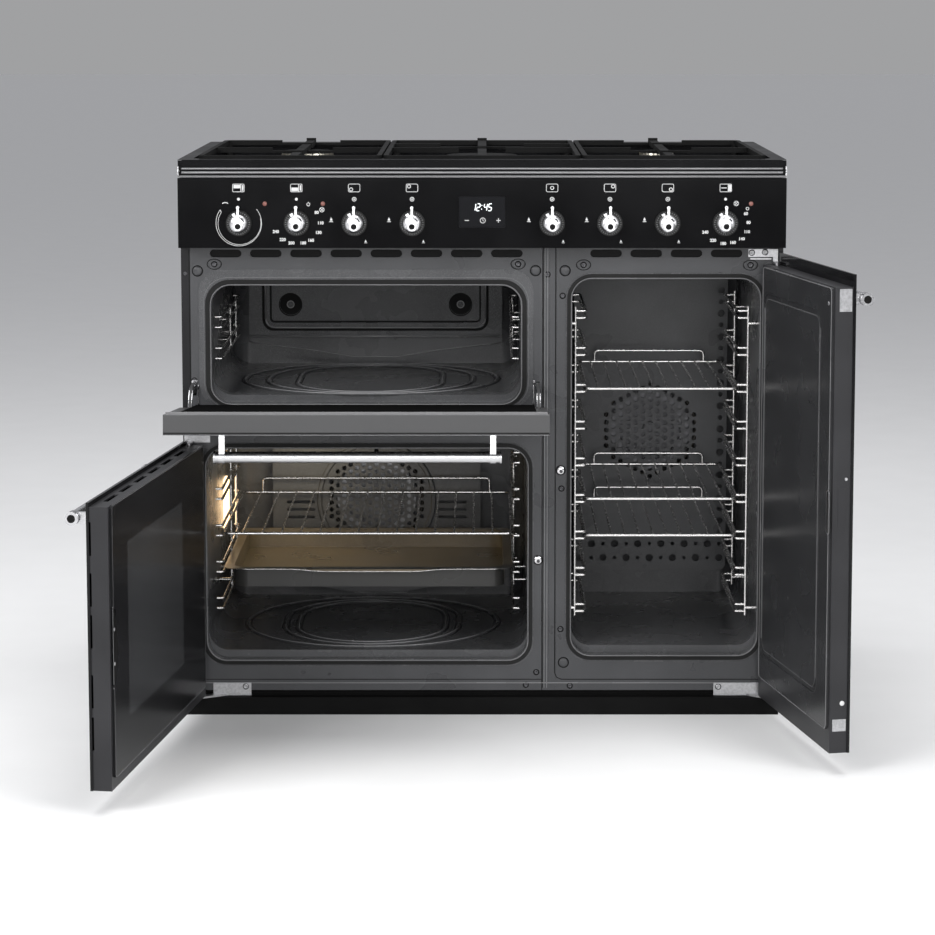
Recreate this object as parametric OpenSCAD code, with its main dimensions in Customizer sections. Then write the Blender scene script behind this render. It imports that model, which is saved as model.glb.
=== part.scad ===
// Freestanding range cooker: five gas burners on top, a drop-door oven over a side-door oven
// on the left, and a tall side-door oven on the right. Shown with its three doors open.
// Frame: origin on the floor under the middle of the body, +X to the right seen from the
// front, +Y to the back, +Z up. Depths (names ending in _d) are measured back from the
// front of the control panel, and fy() turns them into Y.

/* [Body] */
// Width of the cooker, over the side panels
body_w = 1000; // [960:1:1100]
// Depth of the cooker, from the panel front to the back
body_d = 600; // [590:1:640]
// Height of the plinth, and of the feet behind it
plinth_h = 30; // [28:1:60]
// Height of the front frame's lower edge over the plinth
skirt_gap = 10; // [10:1:14]
// Depth of the front frame's face behind the panel front
face_d = 40; // [40:0.5:44]
// Thickness of the body sheet
sheet = 2; // [1.5:0.1:2.5]
// Width of the right-hand column, as wide as the tall door
right_w = 388; // [380:1:400]
// Gap between the doors of the two columns
door_gap = 6; // [4:0.5:8]

/* [Control panel] */
// Gap between the tall oven's mouth and the control panel over it
mouth_gap = 55; // [55:1:62]
// Height of the control panel
panel_h = 115; // [110:1:120]
// Depth of the control panel's box
panel_box_d = 55; // [50:1:58]
// Height of the knob axes over the panel's lower edge
knob_up = 41; // [38:1:50]
// Distance between neighbouring knobs
knob_pitch = 95; // [80:1:98]
// Distance from the middle to the innermost knobs
knob_inner = 115; // [105:1:120]
// Radius of a knob
knob_r = 15; // [13:0.5:16]
// Radius of the ring round a knob
bezel_r = 21; // [19:0.5:23]
// Radius of a gas tap's spindle
spindle_r = 4; // [3:0.5:5]
// How far a gas knob pushes in
tap_travel = 5; // [3:0.5:5]
// Radius of the gas inlet's threaded stub (half-inch pipe thread)
inlet_r = 10.48; // [10.48:0.01:10.5]

/* [Hob] */
// Height of the metal strip between panel and hob
trim_h = 18; // [14:1:20]
// Height of the hob's rim
rim_h = 12; // [10:1:16]
// Depth of the hob's well below its rim
recess = 23; // [18:0.5:24]
// Distance of the side burners from the middle
burner_x = 312; // [300:1:320]
// Height of a pan stand over the hob's well
stand_h = 28; // [27:1:36]
// Width of a pan stand's bars
bar_w = 8; // [6:0.5:10]

/* [Ovens] */
// Wall thickness of the enamelled ovens
wall = 1.5; // [1:0.1:2]
// Width of the upper oven's mouth
upper_w = 515; // [500:1:520]
// How much lower the upper oven's mouth ends than the tall oven's
upper_drop = 11; // [9:1:19]
// Height of the upper oven's mouth over the floor
upper_z = 529; // [529:1:532]
// Width of the main oven's mouth
main_w = 538; // [525:1:540]
// Height of the main oven's mouth
main_h = 360; // [340:1:362]
// Height of the main oven's mouth over the floor
main_z = 93; // [92:1:98]
// Width of the tall oven's mouth
tall_w = 312; // [306:1:316]
// Height of the tall oven's mouth
tall_h = 637; // [620:1:640]
// Height of the tall oven's mouth over the floor
tall_z = 101; // [98:1:104]
// Corner radius of the oven mouths
mouth_r = 33; // [28:1:40]
// Radius of a rack's and a shelf's wire
wire_r = 2.5; // [2:0.1:3]

/* [Doors] */
// Thickness of a closed door
door_t = 36.5; // [35:0.5:36.5]
// Thickness of a door's outer skin
skin_t = 4; // [3:0.5:4]
// Thickness of a door's inner glass
glass_t = 4; // [3:0.5:5]
// Height of the doors' lower edge over the floor
door_z = 35.4; // [35.2:0.1:37]
// Height of the main door's upper edge
main_top = 468.5; // [466:0.5:468.5]
// Height of the drop door's lower edge
drop_z = 478.5; // [478:0.5:479]
// Gap between the control panel and the drop door and the tall door under it
top_gap = 9.7; // [7:0.1:12]
// How far the drop door stands open
drop_open = 84.4; // [60:0.1:84.4]
// How far the main door stands open
main_open = 97.9; // [80:0.1:98]
// How far the tall door stands open
tall_open = 101.2; // [80:0.1:101.5]

/* [Handles] */
// Radius of a handle bar
grip_r = 9; // [7:0.5:9]
// Distance from a side door's face to its handle's axis
grip_out = 44; // [36:1:48]
// Distance from the drop door's face to its handle's axis
drop_grip_out = 37; // [32:1:37]
// Distance from a handle bar's end to the edge of its door
grip_inset = 75; // [60:1:90]

/* [Hidden] */
$fn = 96;
eps = 0.01;
clear = 0.3;

// Depths and heights worked out from the sizes above
function fy(d) = d - body_d / 2;
hw = body_w / 2;
base_z = plinth_h;
skirt_z = plinth_h + skirt_gap;
panel_z = tall_z + tall_h + mouth_gap;
upper_h = tall_z + tall_h - upper_drop - upper_z;
door_top = panel_z - top_gap;
panel_top = panel_z + panel_h;
trim_z = panel_top + 1;
hob_z = trim_z + trim_h;
rim_z = hob_z + rim_h - 1;
floor_z = rim_z - recess;
knob_z = panel_z + knob_up;
split_x = hw - right_w - door_gap / 2;
left_w = body_w - right_w - door_gap;
left_cx = -hw + left_w / 2;
right_cx = hw - right_w / 2;
oven_cx = left_cx + 4;
flange_t = 1.2;
seal_t = 2;
return_w = 15;
frame_x0 = -hw + return_w;
frame_top = panel_z - 3;
back_d = body_d - sheet;
KNOBS = [for (i = [3 : -1 : 0]) -knob_inner - i * knob_pitch, for (i = [0 : 3]) knob_inner + i * knob_pitch];
GAS = [2, 3, 4, 5, 6];

// Hinge axes: depth, and either X or Z
side_pivot_d = 12;
side_pivot_in = 13;
drop_pivot_d = 11;
drop_pivot_z = drop_z + 27;
pin_r = 3;
drop_pin_r = 2.5;
pin_play = 0.05;
arm_half = 4;

// Oven depths
upper_d = 445;
main_d = 480;
tall_d = 465;
cover_gap = 36;
ledge = 12;

// Rung levels of the racks: height of each pair's lower rung
UPPER_RUNGS = [upper_z + 0.365 * upper_h, upper_z + 0.631 * upper_h];
MAIN_RUNGS = [for (i = [0 : 4]) main_z + 82.4 + i * (main_h - 77.4 - mouth_r) / 4];
TALL_RUNGS = [for (i = [0 : 8]) tall_z + 69 + i * (tall_h - 104 - mouth_r) / 8];
left_pair = 17.4;
tall_pair = 12;
rung_r = 2.25;
rack_front = 68;
rack_back = body_d - 180;
main_rung_x = main_w / 2 - 24;
upper_rung_x = upper_w / 2 - 14.5;
tall_rack_cx = right_cx - 5;
tall_rack_x = tall_w / 2 - 11.5;
tall_rung_x = tall_w / 2 - 29;
tall_rack_back = body_d - 270;
rung_turn = 11;
shelf_in = 2;

// Burners: X, depth, radius of the head
BURNERS = [[-burner_x, 165, 37], [-burner_x, 435, 46], [0, 300, 62], [burner_x, 165, 37],
    [burner_x, 435, 30]];

// ---- Shared shapes ----

// A box between two corners given as ranges
module block(x, y, z) {
    translate([x[0], y[0], z[0]]) cube([x[1] - x[0], y[1] - y[0], z[1] - z[0]]);
}

// A rectangle with round corners, centred
module round_rect(w, h, r) {
    square([w - 2 * r, h], center = true);
    square([w, h - 2 * r], center = true);
    for (sx = [-1, 1])
        for (sz = [-1, 1])
            translate([sx * (w / 2 - r), sz * (h / 2 - r)]) circle(r);
}

// Turns a drawing in the XY plane into a plate in the XZ plane, between two depths
module upright(d0, d1) {
    translate([0, fy(d1), 0]) rotate([90, 0, 0]) linear_extrude(d1 - d0) children();
}

// A rounded plate facing the front
module slab(x, z, d0, d1, r) {
    upright(d0, d1)
        translate([(x[0] + x[1]) / 2, (z[0] + z[1]) / 2]) round_rect(x[1] - x[0], z[1] - z[0], r);
}

// A rod between two points along one axis direction given as a rotation
module rod_x(x0, x1, y, z, r) {
    translate([x0, y, z]) rotate([0, 90, 0]) cylinder(h = x1 - x0, r = r);
}

module rod_y(x, y0, y1, z, r) {
    translate([x, y1, z]) rotate([90, 0, 0]) cylinder(h = y1 - y0, r = r);
}

module rod_z(x, y, z0, z1, r) {
    translate([x, y, z0]) cylinder(h = z1 - z0, r = r);
}

function unit(v) = v / norm(v);

// A wire through a list of points, each leg along X, Y or Z, with bends of radius b
module wire(pts, r, b) {
    n = len(pts);
    for (i = [0 : n - 2]) {
        u = unit(pts[i + 1] - pts[i]);
        a = pts[i] + (i == 0 ? 0 : b) * u;
        e = pts[i + 1] - (i == n - 2 ? 0 : b) * u;
        turn = abs(u[2]) > 0.5 ? [u[2] > 0 ? 0 : 180, 0, 0]
            : abs(u[1]) > 0.5 ? [u[1] > 0 ? -90 : 90, 0, 0] : [0, u[0] > 0 ? 90 : -90, 0];
        translate(a) rotate(turn) cylinder(h = norm(e - a), r = r);
    }
    if (n > 2)
        for (i = [1 : n - 2]) {
            u = unit(pts[i] - pts[i - 1]);
            v = unit(pts[i + 1] - pts[i]);
            w = cross(u, v);
            c = pts[i] - b * u + b * v;
            multmatrix([[-v[0], u[0], w[0], c[0]], [-v[1], u[1], w[1], c[1]],
                    [-v[2], u[2], w[2], c[2]], [0, 0, 0, 1]])
                rotate_extrude(angle = 90) translate([b, 0]) circle(r);
        }
}

// Round-ended slots in a row
module slot_row(x0, count, pitch, w, h, z) {
    for (i = [0 : count - 1])
        translate([x0 + i * pitch + w / 2, z + h / 2]) {
            square([w - h, h], center = true);
            for (s = [-1, 1]) translate([s * (w - h) / 2, 0]) circle(h / 2);
        }
}

// ---- Ovens ----

// The range of a mouth across X, around its centre, widened by g
function mouth_x(cx, w, g = 0) = [cx - w / 2 - g, cx + w / 2 + g];
function mouth_z(z, h, g = 0) = [z - g, z + h + g];

// The clear inside of an oven: the mouth, then the chamber with its floor raised by the ledge
module oven_space(cx, w, z, h, depth, g) {
    back_r = 30;
    slab(mouth_x(cx, w, g), mouth_z(z, h, g), face_d - flange_t - eps, face_d + 20 + g, mouth_r + g);
    intersection() {
        slab(mouth_x(cx, w, g), [z + ledge - g, z + h + g], face_d + 10, face_d + depth + g, mouth_r + g);
        translate([cx, fy(face_d) + (depth + g) / 2, z - 10 - g]) linear_extrude(h + 20 + 2 * g) {
            translate([0, -back_r]) square([w + 2 * g, depth + g], center = true);
            round_rect(w + 2 * g, depth + g, back_r + g);
        }
    }
}

// A pressed-steel oven: walls, a flange in front of the frame, and rings pressed in the floor
module oven(cx, w, z, h, depth, flange, rings, ring_d) {
    difference() {
        union() {
            oven_space(cx, w, z, h, depth, wall);
            slab([cx - w / 2 - flange[0], cx + w / 2 + flange[0]], [z - flange[1], z + h + flange[2]],
                face_d - flange_t, face_d, mouth_r + min(flange));
        }
        oven_space(cx, w, z, h, depth, 0);
        block([cx - w, cx + w], [fy(face_d) - 5, fy(face_d) - flange_t], [z - 60, z + h + 60]);
        upright(face_d + depth - 1, face_d + depth + wall + 1) translate([cx, 0]) children();
    }
    for (r = rings)
        translate([cx, fy(ring_d), z + ledge - eps]) difference() {
            linear_extrude(1.6) round_rect(2 * r[0] + 6, 2 * r[1] + 6, min(r) + 2.5);
            translate([0, 0, -1]) linear_extrude(4) round_rect(2 * r[0] - 6, 2 * r[1] - 6, min(r) - 3.5);
        }
}

module shaft_hole(z) {
    translate([0, z]) circle(4 + pin_play);
}

module upper_cavity() {
    color([0.13, 0.13, 0.14]) {
        oven(oven_cx, upper_w, upper_z, upper_h, upper_d, [21, 6, 27],
            [[124, 178], [177, 192], [220, 203]], upper_d / 2 + 43);
        upper_back_cover();
    }
}

// Pressed cover on the upper oven's back wall: a bead round a pocket with two round dimples,
// and an apron below whose edge dips in the middle
module upper_back_cover() {
    t = 22;
    d0 = face_d + upper_d - t;
    zc = [for (f = [0.308, 0.384, 0.447, 0.88, 0.61, 0.241, 0.198, 0.129]) upper_z + f * upper_h];
    difference() {
        slab([oven_cx - 229, oven_cx + 229], [zc[0], upper_z + upper_h - eps], d0, face_d + upper_d + eps, 8);
        difference() {
            slab([oven_cx - 205, oven_cx + 205], [zc[1], upper_z + upper_h + 9], d0 - 1, d0 + 3, 22);
            slab([oven_cx - 200, oven_cx + 200], [zc[1] + 5, upper_z + upper_h + 10], d0 - 2, d0 + 4, 17);
        }
        slab([oven_cx - 191, oven_cx + 191], [zc[2], zc[3]], d0 - 1, d0 + 6, 8);
        for (s = [-1, 1])
            translate([oven_cx + s * 154, fy(d0 + 5), zc[4]]) rotate([90, 0, 0]) translate([0, 0, -10])
                cylinder(h = 11, r = 20);
    }
    for (s = [-1, 1])
        rod_y(oven_cx + s * 154, fy(d0 + 10), fy(d0 + 16), zc[4], 7);
    upright(d0 + 8, face_d + upper_d + eps) translate([oven_cx, 0])
        polygon([[-229, zc[0] + 9], [-229, zc[5] + 4], [-205, zc[5]], [-127, zc[6]], [-43, zc[7]],
                [43, zc[7]], [127, zc[6]], [205, zc[5]], [229, zc[5] + 4], [229, zc[0] + 9]]);
}

module main_cavity() {
    color([0.13, 0.13, 0.14])
        oven(oven_cx, main_w, main_z, main_h, main_d, [11, 11, 9],
            [[129, 168], [152, 186], [220, 204]], main_d / 2 + 44) shaft_hole(main_fan_z);
}

module tall_cavity() {
    color([0.15, 0.15, 0.16])
        oven(right_cx, tall_w, tall_z, tall_h, tall_d, [10, 12, 10], [], 240) shaft_hole(tall_fan_z);
}

// Gasket ring round an oven's mouth, in front of its flange
module seal_ring(cx, w, z, h, inset) {
    d1 = face_d - flange_t;
    difference() {
        slab(mouth_x(cx, w, inset + 6), mouth_z(z, h, inset + 6), d1 - seal_t, d1, mouth_r + inset + 6);
        slab(mouth_x(cx, w, inset), mouth_z(z, h, inset), d1 - seal_t - 1, d1 + 1, mouth_r + inset);
    }
}

module oven_seals() {
    color([0.07, 0.07, 0.07]) {
        difference() {
            slab(mouth_x(oven_cx, upper_w, 10), [upper_z - 5, upper_z + upper_h + 10],
                face_d - flange_t - seal_t, face_d - flange_t, mouth_r + 8);
            slab(mouth_x(oven_cx, upper_w, 3), [upper_z - 1.5, upper_z + upper_h + 3],
                face_d - 10, face_d, mouth_r + 3);
        }
        seal_ring(oven_cx, main_w, main_z, main_h, 2.5);
        seal_ring(right_cx, tall_w, tall_z, tall_h, 2.5);
    }
}

// ---- Racks and shelves ----

// One side of a rack: pairs of rungs whose ends turn towards the wall, welded to two uprights
// that stand off from the wall on pins
module rack_side(cx, s, x_up, x_in, x_wall, x_end, levels, pair, depths, back, over) {
    last = levels[len(levels) - 1] + pair;
    for (d = depths) {
        rod_z(cx + s * x_up, fy(d), levels[0] - over, last + over, wire_r);
        for (z = [levels[0] + pair / 2, last - pair - 9])
            rod_x(s > 0 ? cx + x_up : cx - x_wall, s > 0 ? cx + x_wall : cx - x_up, fy(d), z, 3);
    }
    for (z = levels)
        for (dz = [0, pair])
            wire([[cx + s * x_end, fy(rack_front), z + dz], [cx + s * x_in, fy(rack_front), z + dz],
                    [cx + s * x_in, fy(back), z + dz], [cx + s * x_end, fy(back), z + dz]], rung_r, 4);
}

weld = 3.4;

module left_racks() {
    color([0.78, 0.78, 0.8])
        for (s = [-1, 1]) {
            rack_side(oven_cx, s, upper_rung_x + weld, upper_rung_x, upper_w / 2, upper_rung_x + rung_turn,
                UPPER_RUNGS, left_pair, [rack_back - 150, rack_back - 35], rack_back, 0.9);
            rack_side(oven_cx, s, main_rung_x + weld, main_rung_x, main_w / 2, main_rung_x + rung_turn,
                MAIN_RUNGS, left_pair, [rack_back - 150, rack_back - 35], rack_back, 0.9);
        }
}

module tall_racks() {
    color([0.78, 0.78, 0.8])
        for (s = [-1, 1])
            rack_side(tall_rack_cx, s, tall_rack_x, tall_rung_x, tall_w / 2 + s * (right_cx - tall_rack_cx),
                tall_rack_x, TALL_RUNGS, tall_pair, [rack_front, tall_rack_back], tall_rack_back, 7);
}

// A shelf whose side wires ride on the lower rungs, with a raised guard at the back
module wire_shelf(cx, half, z, d0, d1, count, guard_in, guard_h) {
    guard_half = half - guard_in;
    color([0.8, 0.8, 0.82]) {
        wire([[cx, fy(d0), z], [cx + half, fy(d0), z], [cx + half, fy(d1), z], [cx - half, fy(d1), z],
                [cx - half, fy(d0), z], [cx, fy(d0), z]], wire_r, 10);
        for (i = [0 : count - 1])
            rod_y(cx + (i - (count - 1) / 2) * 2 * half / (count + 1), fy(d0), fy(d1), z, wire_r * 0.72);
        wire([[cx - guard_half, fy(d1), z], [cx - guard_half, fy(d1), z + guard_h],
                [cx + guard_half, fy(d1), z + guard_h], [cx + guard_half, fy(d1), z]], wire_r * 0.88, 7);
    }
}

function on_rung(z) = z + rung_r + 0.35 + wire_r;

shelf_front = 60;
main_cover_d = face_d + main_d - cover_gap;
tall_cover_d = face_d + tall_d - cover_gap;

module main_shelf() {
    wire_shelf(oven_cx, main_rung_x - shelf_in, on_rung(MAIN_RUNGS[2]), shelf_front, main_cover_d - 14,
        14, 36.5, 26);
}

module tall_shelf(level) {
    wire_shelf(tall_rack_cx, tall_rung_x + 2, on_rung(TALL_RUNGS[level]), shelf_front + 10,
        tall_cover_d - 32, 10, 31, 20);
}

module tall_shelf_top() {
    tall_shelf(6);
}

module tall_shelf_middle() {
    tall_shelf(3);
}

module tall_shelf_bottom() {
    tall_shelf(2);
}

// A layer of the tray from height z up by h, inset by g in all, with corner radius r
module tray_layer(z, h, g, r) {
    d0 = shelf_front + 15;
    d1 = main_cover_d - 29;
    translate([oven_cx, fy((d0 + d1) / 2), z]) linear_extrude(h)
        round_rect(2 * main_rung_x - g, d1 - d0 - g, r);
}

// A pressed tray whose lip rides on the rungs one level under the shelf
module roasting_tray() {
    z = MAIN_RUNGS[1] + rung_r + clear;
    color([0.3, 0.26, 0.2]) difference() {
        union() {
            tray_layer(z, 1.5, 0, 20);
            tray_layer(z - 32, 32, 28, 26);
        }
        tray_layer(z - 30.5, 40, 31, 24.5);
    }
}

// ---- Fans ----

main_fan_z = 290;
tall_fan_z = tall_z + tall_h / 2 + 0.5;
fan_r = 72;

// Holes of a fan cover, in columns, within a circle of radius r
module hole_field(r, px, pz, hole_r) {
    n = ceil(r / px);
    m = ceil(r / pz) + 1;
    for (i = [-n : n])
        for (j = [-m : m]) {
            z = (j + (abs(i) % 2) / 2) * pz;
            if (norm([i * px, z]) < r - hole_r) translate([i * px, z]) circle(hole_r, $fn = 24);
        }
}

module cover_plate(x, z, d) {
    difference() {
        slab(x, z, d, d + wall, 12);
        upright(d - 1, d + wall + 1) children();
    }
}

module fan_covers() {
    x1 = main_w / 2 - 79;
    z0 = main_z + 34;
    z1 = main_z + main_h - 50;
    tall_x1 = tall_w / 2 - 17;
    tall_z0 = tall_z + 60;
    color([0.2, 0.2, 0.21]) {
        cover_plate([oven_cx - x1, oven_cx + x1], [z0, z1], main_cover_d) {
            translate([oven_cx, main_fan_z]) hole_field(94, 11.8, 12.8, 4.3);
            for (k = [0 : 2]) slot_row(oven_cx - 165, 1, 50, 52, 5.5, main_fan_z - 36 + k * 14);
            for (k = [0 : 2]) slot_row(oven_cx + 113, 1, 50, 52, 5.5, main_fan_z - 36 + k * 14);
        }
        upright(main_cover_d, main_cover_d + wall) translate([oven_cx, 0])
            polygon([[-x1 + 20, z0 + 4], [-104, z0], [-46, z0 - 10], [46, z0 - 10], [104, z0],
                    [x1 - 20, z0 + 4]]);
        translate([oven_cx, fy(main_cover_d + 0.4), main_fan_z]) rotate([90, 0, 0]) rotate_extrude()
            polygon([[99, 0], [110, 0], [107, 3], [102, 3]]);
        for (sx = [-1, 1])
            for (z = [z0 + 16, z1 - 16])
                rod_y(oven_cx + sx * (x1 - 12), fy(main_cover_d + wall), fy(face_d + main_d), z, 4);
        cover_plate([right_cx - tall_x1, right_cx + tall_x1], [tall_z0, tall_z + tall_h - 22], tall_cover_d) {
            translate([right_cx, tall_fan_z]) hole_field(91, 13.3, 14.2, 4.5);
            for (k = [-1 : 11]) {
                big = abs(k) % 2 == 0;
                translate([right_cx - 106 + k * 21.2, tall_z0 + 49]) circle(big ? 6.7 : 3.35, $fn = 32);
                translate([right_cx - 106 + k * 21.2, tall_z0 + 23]) circle(big ? 3.35 : 6.7, $fn = 32);
            }
            for (k = [1 : floor((tall_h - 170) / 21.2)])
                translate([right_cx + 127.2, tall_z0 + 49 + k * 21.2])
                    circle(k % 2 == 0 ? 6.7 : 4.6, $fn = 24);
        }
        for (sx = [-1, 1])
            for (z = [tall_z0 + 7, tall_z + tall_h - 34])
                rod_y(right_cx + sx * (tall_x1 - 27), fy(tall_cover_d + wall), fy(face_d + tall_d), z, 4);
    }
}

// A centrifugal fan: a back plate, a front ring, curved blades, and a shaft through the oven's wall
module fan(cx, z, back) {
    color([0.62, 0.62, 0.64]) translate([cx, fy(back - 5), z]) rotate([90, 0, 0]) {
        cylinder(h = 1.5, r = fan_r);
        translate([0, 0, 20]) difference() {
            cylinder(h = 1.5, r = fan_r);
            translate([0, 0, -1]) cylinder(h = 4, r = fan_r - 16);
        }
        for (k = [0 : 17])
            rotate([0, 0, k * 20]) translate([fan_r - 17, 0, 1]) rotate([0, 0, 35]) translate([0, -0.75, 0])
                cube([17, 1.5, 19.5]);
        cylinder(h = 14, r = 12);
        translate([0, 0, -30]) cylinder(h = 42, r = 4);
    }
}

module main_fan() {
    fan(oven_cx, main_fan_z, face_d + main_d);
}

module tall_fan() {
    fan(right_cx, tall_fan_z, face_d + tall_d);
}

// Grill element under the upper oven's roof, and ring elements round the two fans
module heating_elements() {
    zg = upper_z + upper_h - 5.5;
    color([0.35, 0.32, 0.3]) {
        wire([[oven_cx - 40, fy(450), zg], [oven_cx - 40, fy(330), zg], [oven_cx - 170, fy(330), zg],
                [oven_cx - 170, fy(155), zg], [oven_cx + 170, fy(155), zg], [oven_cx + 170, fy(330), zg],
                [oven_cx + 40, fy(330), zg], [oven_cx + 40, fy(450), zg]], 3.2, 22);
        for (s = [-1, 1])
            rod_z(oven_cx + s * 170, fy(200), zg, upper_z + upper_h, 2);
        for (f = [[oven_cx, main_fan_z, face_d + main_d], [right_cx, tall_fan_z, face_d + tall_d]]) {
            translate([f[0], fy(f[2] - 16), f[1]]) rotate([90, 0, 0])
                rotate_extrude() translate([fan_r + 12, 0]) circle(3.2);
            rod_y(f[0], fy(f[2] - 16), fy(f[2]), f[1] + fan_r + 12, 2);
        }
    }
}

// Lens of the main oven's lamp on its left wall, with a collar round it
module oven_lamp() {
    color([0.95, 0.9, 0.75])
        translate([oven_cx - main_w / 2, fy(380), main_z + 210]) rotate([90, 0, 90]) {
            linear_extrude(5) round_rect(62, 88, 12);
            linear_extrude(11) round_rect(50, 76, 10);
        }
}

// ---- Body ----

module base_frame() {
    color([0.2, 0.2, 0.2]) difference() {
        block([-hw + 4, hw - 4], [fy(48), fy(back_d - 2)], [base_z, skirt_z]);
        block([-hw + 24, hw - 24], [fy(68), fy(back_d - 22)], [base_z + 2, skirt_z + 1]);
    }
}

module feet() {
    color([0.1, 0.1, 0.1])
        for (sx = [-1, 1])
            for (d = [100, body_d - 70])
                translate([sx * (hw - 45), fy(d), 0]) {
                    cylinder(h = 8, r = 20);
                    cylinder(h = base_z, r = 6);
                }
}

// Three-sided plinth with a top flange that reaches back under the base frame
module plinth() {
    t = 2.5;
    color([0.04, 0.04, 0.04]) difference() {
        block([-hw, hw], [fy(30), fy(body_d - 10)], [0, plinth_h]);
        block([-hw + t, hw - t], [fy(30 + t), fy(body_d)], [-1, plinth_h - t]);
        block([-hw + 30, hw - 30], [fy(60), fy(body_d)], [-1, plinth_h + 1]);
    }
}

module side_panel() {
    block([-hw, -hw + sheet], [fy(face_d), fy(body_d)], [skirt_z, frame_top]);
    block([-hw, -hw + sheet], [fy(panel_box_d + 4), fy(body_d)], [skirt_z, hob_z]);
    block([-hw, frame_x0], [fy(face_d), fy(face_d + sheet)], [skirt_z, frame_top]);
    block([-hw, frame_x0], [fy(body_d - sheet), fy(body_d)], [skirt_z, hob_z]);
}

module side_panels() {
    color([0.05, 0.05, 0.05]) {
        side_panel();
        mirror([1, 0, 0]) side_panel();
    }
}

// Back sheet with rows of louvres that let the cooling air out
module back_panel() {
    color([0.5, 0.5, 0.52]) difference() {
        block([-hw + sheet, hw - sheet], [fy(back_d - sheet), fy(back_d)], [skirt_z, hob_z]);
        upright(back_d - sheet - 1, back_d + 1)
            for (z = [150, 170, 190, panel_z - 153, panel_z - 133, panel_z - 113, panel_z + 47, panel_z + 67])
                slot_row(-360, 6, 125, 95, 7, z);
        rod_y(inlet_x + 30, fy(back_d - sheet) - 1, fy(back_d) + 1, rail_z, 9);
    }
}

module mouth_hole(cx, w, z, h) {
    translate([cx, z + h / 2]) round_rect(w + 2 * wall + 1, h + 2 * wall + 1, mouth_r + wall + 0.5);
}

vent_w = 52.5;
vent_h = 13;
vent_pitch = 66.7;

// Left sheet of the front: two oven mouths, cooling slots, and slots for the drop door's arms
module left_front_frame() {
    color([0.22, 0.22, 0.23]) upright(face_d, face_d + sheet) difference() {
        translate([frame_x0, skirt_z]) square([split_x - 9 - frame_x0, frame_top - skirt_z]);
        mouth_hole(oven_cx, upper_w, upper_z, upper_h);
        mouth_hole(oven_cx, main_w, main_z, main_h);
        slot_row(-hw + 48, 8, vent_pitch, vent_w, vent_h, frame_top - 16);
        for (x = arm_x)
            translate([x - 3.5, drop_pivot_z + 37]) square([7, 23]);
    }
}

// Right sheet of the front with the tall oven's mouth, and the narrow post between the ovens
module right_front_frame() {
    x0 = split_x - 8;
    color([0.24, 0.24, 0.25]) difference() {
        upright(face_d, face_d + sheet) difference() {
            translate([x0, skirt_z]) square([hw - return_w - x0, frame_top - skirt_z]);
            mouth_hole(right_cx, tall_w, tall_z, tall_h);
            slot_row(split_x + 70.6, 4, vent_pitch, vent_w, vent_h, frame_top - 16);
        }
        for (x = [split_x + 2, split_x + 14])
            block([x, x + 1], [fy(face_d) - 1, fy(face_d) + 1], [skirt_z - 1, frame_top + 1]);
    }
}

// ---- Control panel ----

module control_panel() {
    t = 2.5;
    color([0.02, 0.02, 0.02]) difference() {
        block([-hw, hw], [fy(0), fy(panel_box_d)], [panel_z, panel_top]);
        block([-hw + t, hw - t], [fy(t), fy(panel_box_d) + 1], [panel_z + t, panel_top - t]);
        for (x = KNOBS) rod_y(x, fy(-1), fy(t + 1), knob_z, spindle_r + 1.5);
        slab([-38, 38], [knob_z - 7, knob_z + 44], -1, t + 1, 1.5);
    }
}

// Metal strip between panel and hob, with two rounded ridges along its face
module trim_strip() {
    color([0.75, 0.75, 0.76]) translate([-hw, 0, 0]) rotate([90, 0, 90]) linear_extrude(body_w) {
        translate([fy(3), trim_z]) square([30, trim_h]);
        translate([fy(3), trim_z + trim_h - 3.2]) circle(2.4, $fn = 48);
        translate([fy(3), trim_z + trim_h - 10]) circle(2.4, $fn = 48);
    }
}

module clock_display() {
    color([0.06, 0.06, 0.07]) {
        slab([-37.8, 37.8], [knob_z - 6.8, knob_z + 43.8], 0.2, 2.2, 1.4);
        block([-34, 34], [fy(2.2), fy(14)], [knob_z - 3, knob_z + 40]);
    }
    color("red")
        for (x = [KNOBS[0] + 43, KNOBS[1] + 43.5, KNOBS[7] + 41.7]) rod_y(x, fy(-1), fy(0), knob_z + 32, 4);
}

// Fixed ring round each knob, with grooves round its edge
module knob_bezels() {
    color([0.08, 0.08, 0.08])
        for (x = KNOBS)
            translate([x, fy(0), knob_z]) rotate([90, 0, 0]) difference() {
                union() {
                    cylinder(h = 4, r = bezel_r);
                    translate([0, 0, 4]) cylinder(h = 1.5, r = bezel_r - 1.5);
                }
                translate([0, 0, -1]) cylinder(h = 9, r = spindle_r + 1.5);
                for (k = [0 : 29])
                    rotate([0, 0, k * 12]) translate([bezel_r + 0.3, 0, 1])
                        cylinder(h = 2, r = 0.9, $fn = 16);
            }
}

bezel_t = 5.5;

// A knob: skirt, domed cap, round hub and a slim lever that points up at rest. It turns on
// the shaft of its tap or switch, whose radius is shaft_r.
module knob(x, shaft_r, gap) {
    color([0.82, 0.82, 0.84])
        translate([x, fy(-bezel_t - gap), knob_z]) rotate([90, 0, 0]) difference() {
            union() {
                rotate_extrude()
                    polygon([[0, 0], [knob_r, 0], [knob_r, 5], [knob_r - 1, 7.5], [knob_r - 3, 9.5],
                            [knob_r - 6.5, 11], [0, 11.8]]);
                translate([0, -4, 5.5]) cylinder(h = 12.5, r = 7.2);
                lever();
                rotate([0, 0, 28]) translate([-2.6, knob_r - 2, 1]) cube([5.2, 5.5, 3]);
            }
            translate([0, 0, -1]) cylinder(h = 9, r = shaft_r + pin_play);
            translate([0, -4, 16.5]) cylinder(h = 3, r = 4.8);
        }
}

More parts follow.
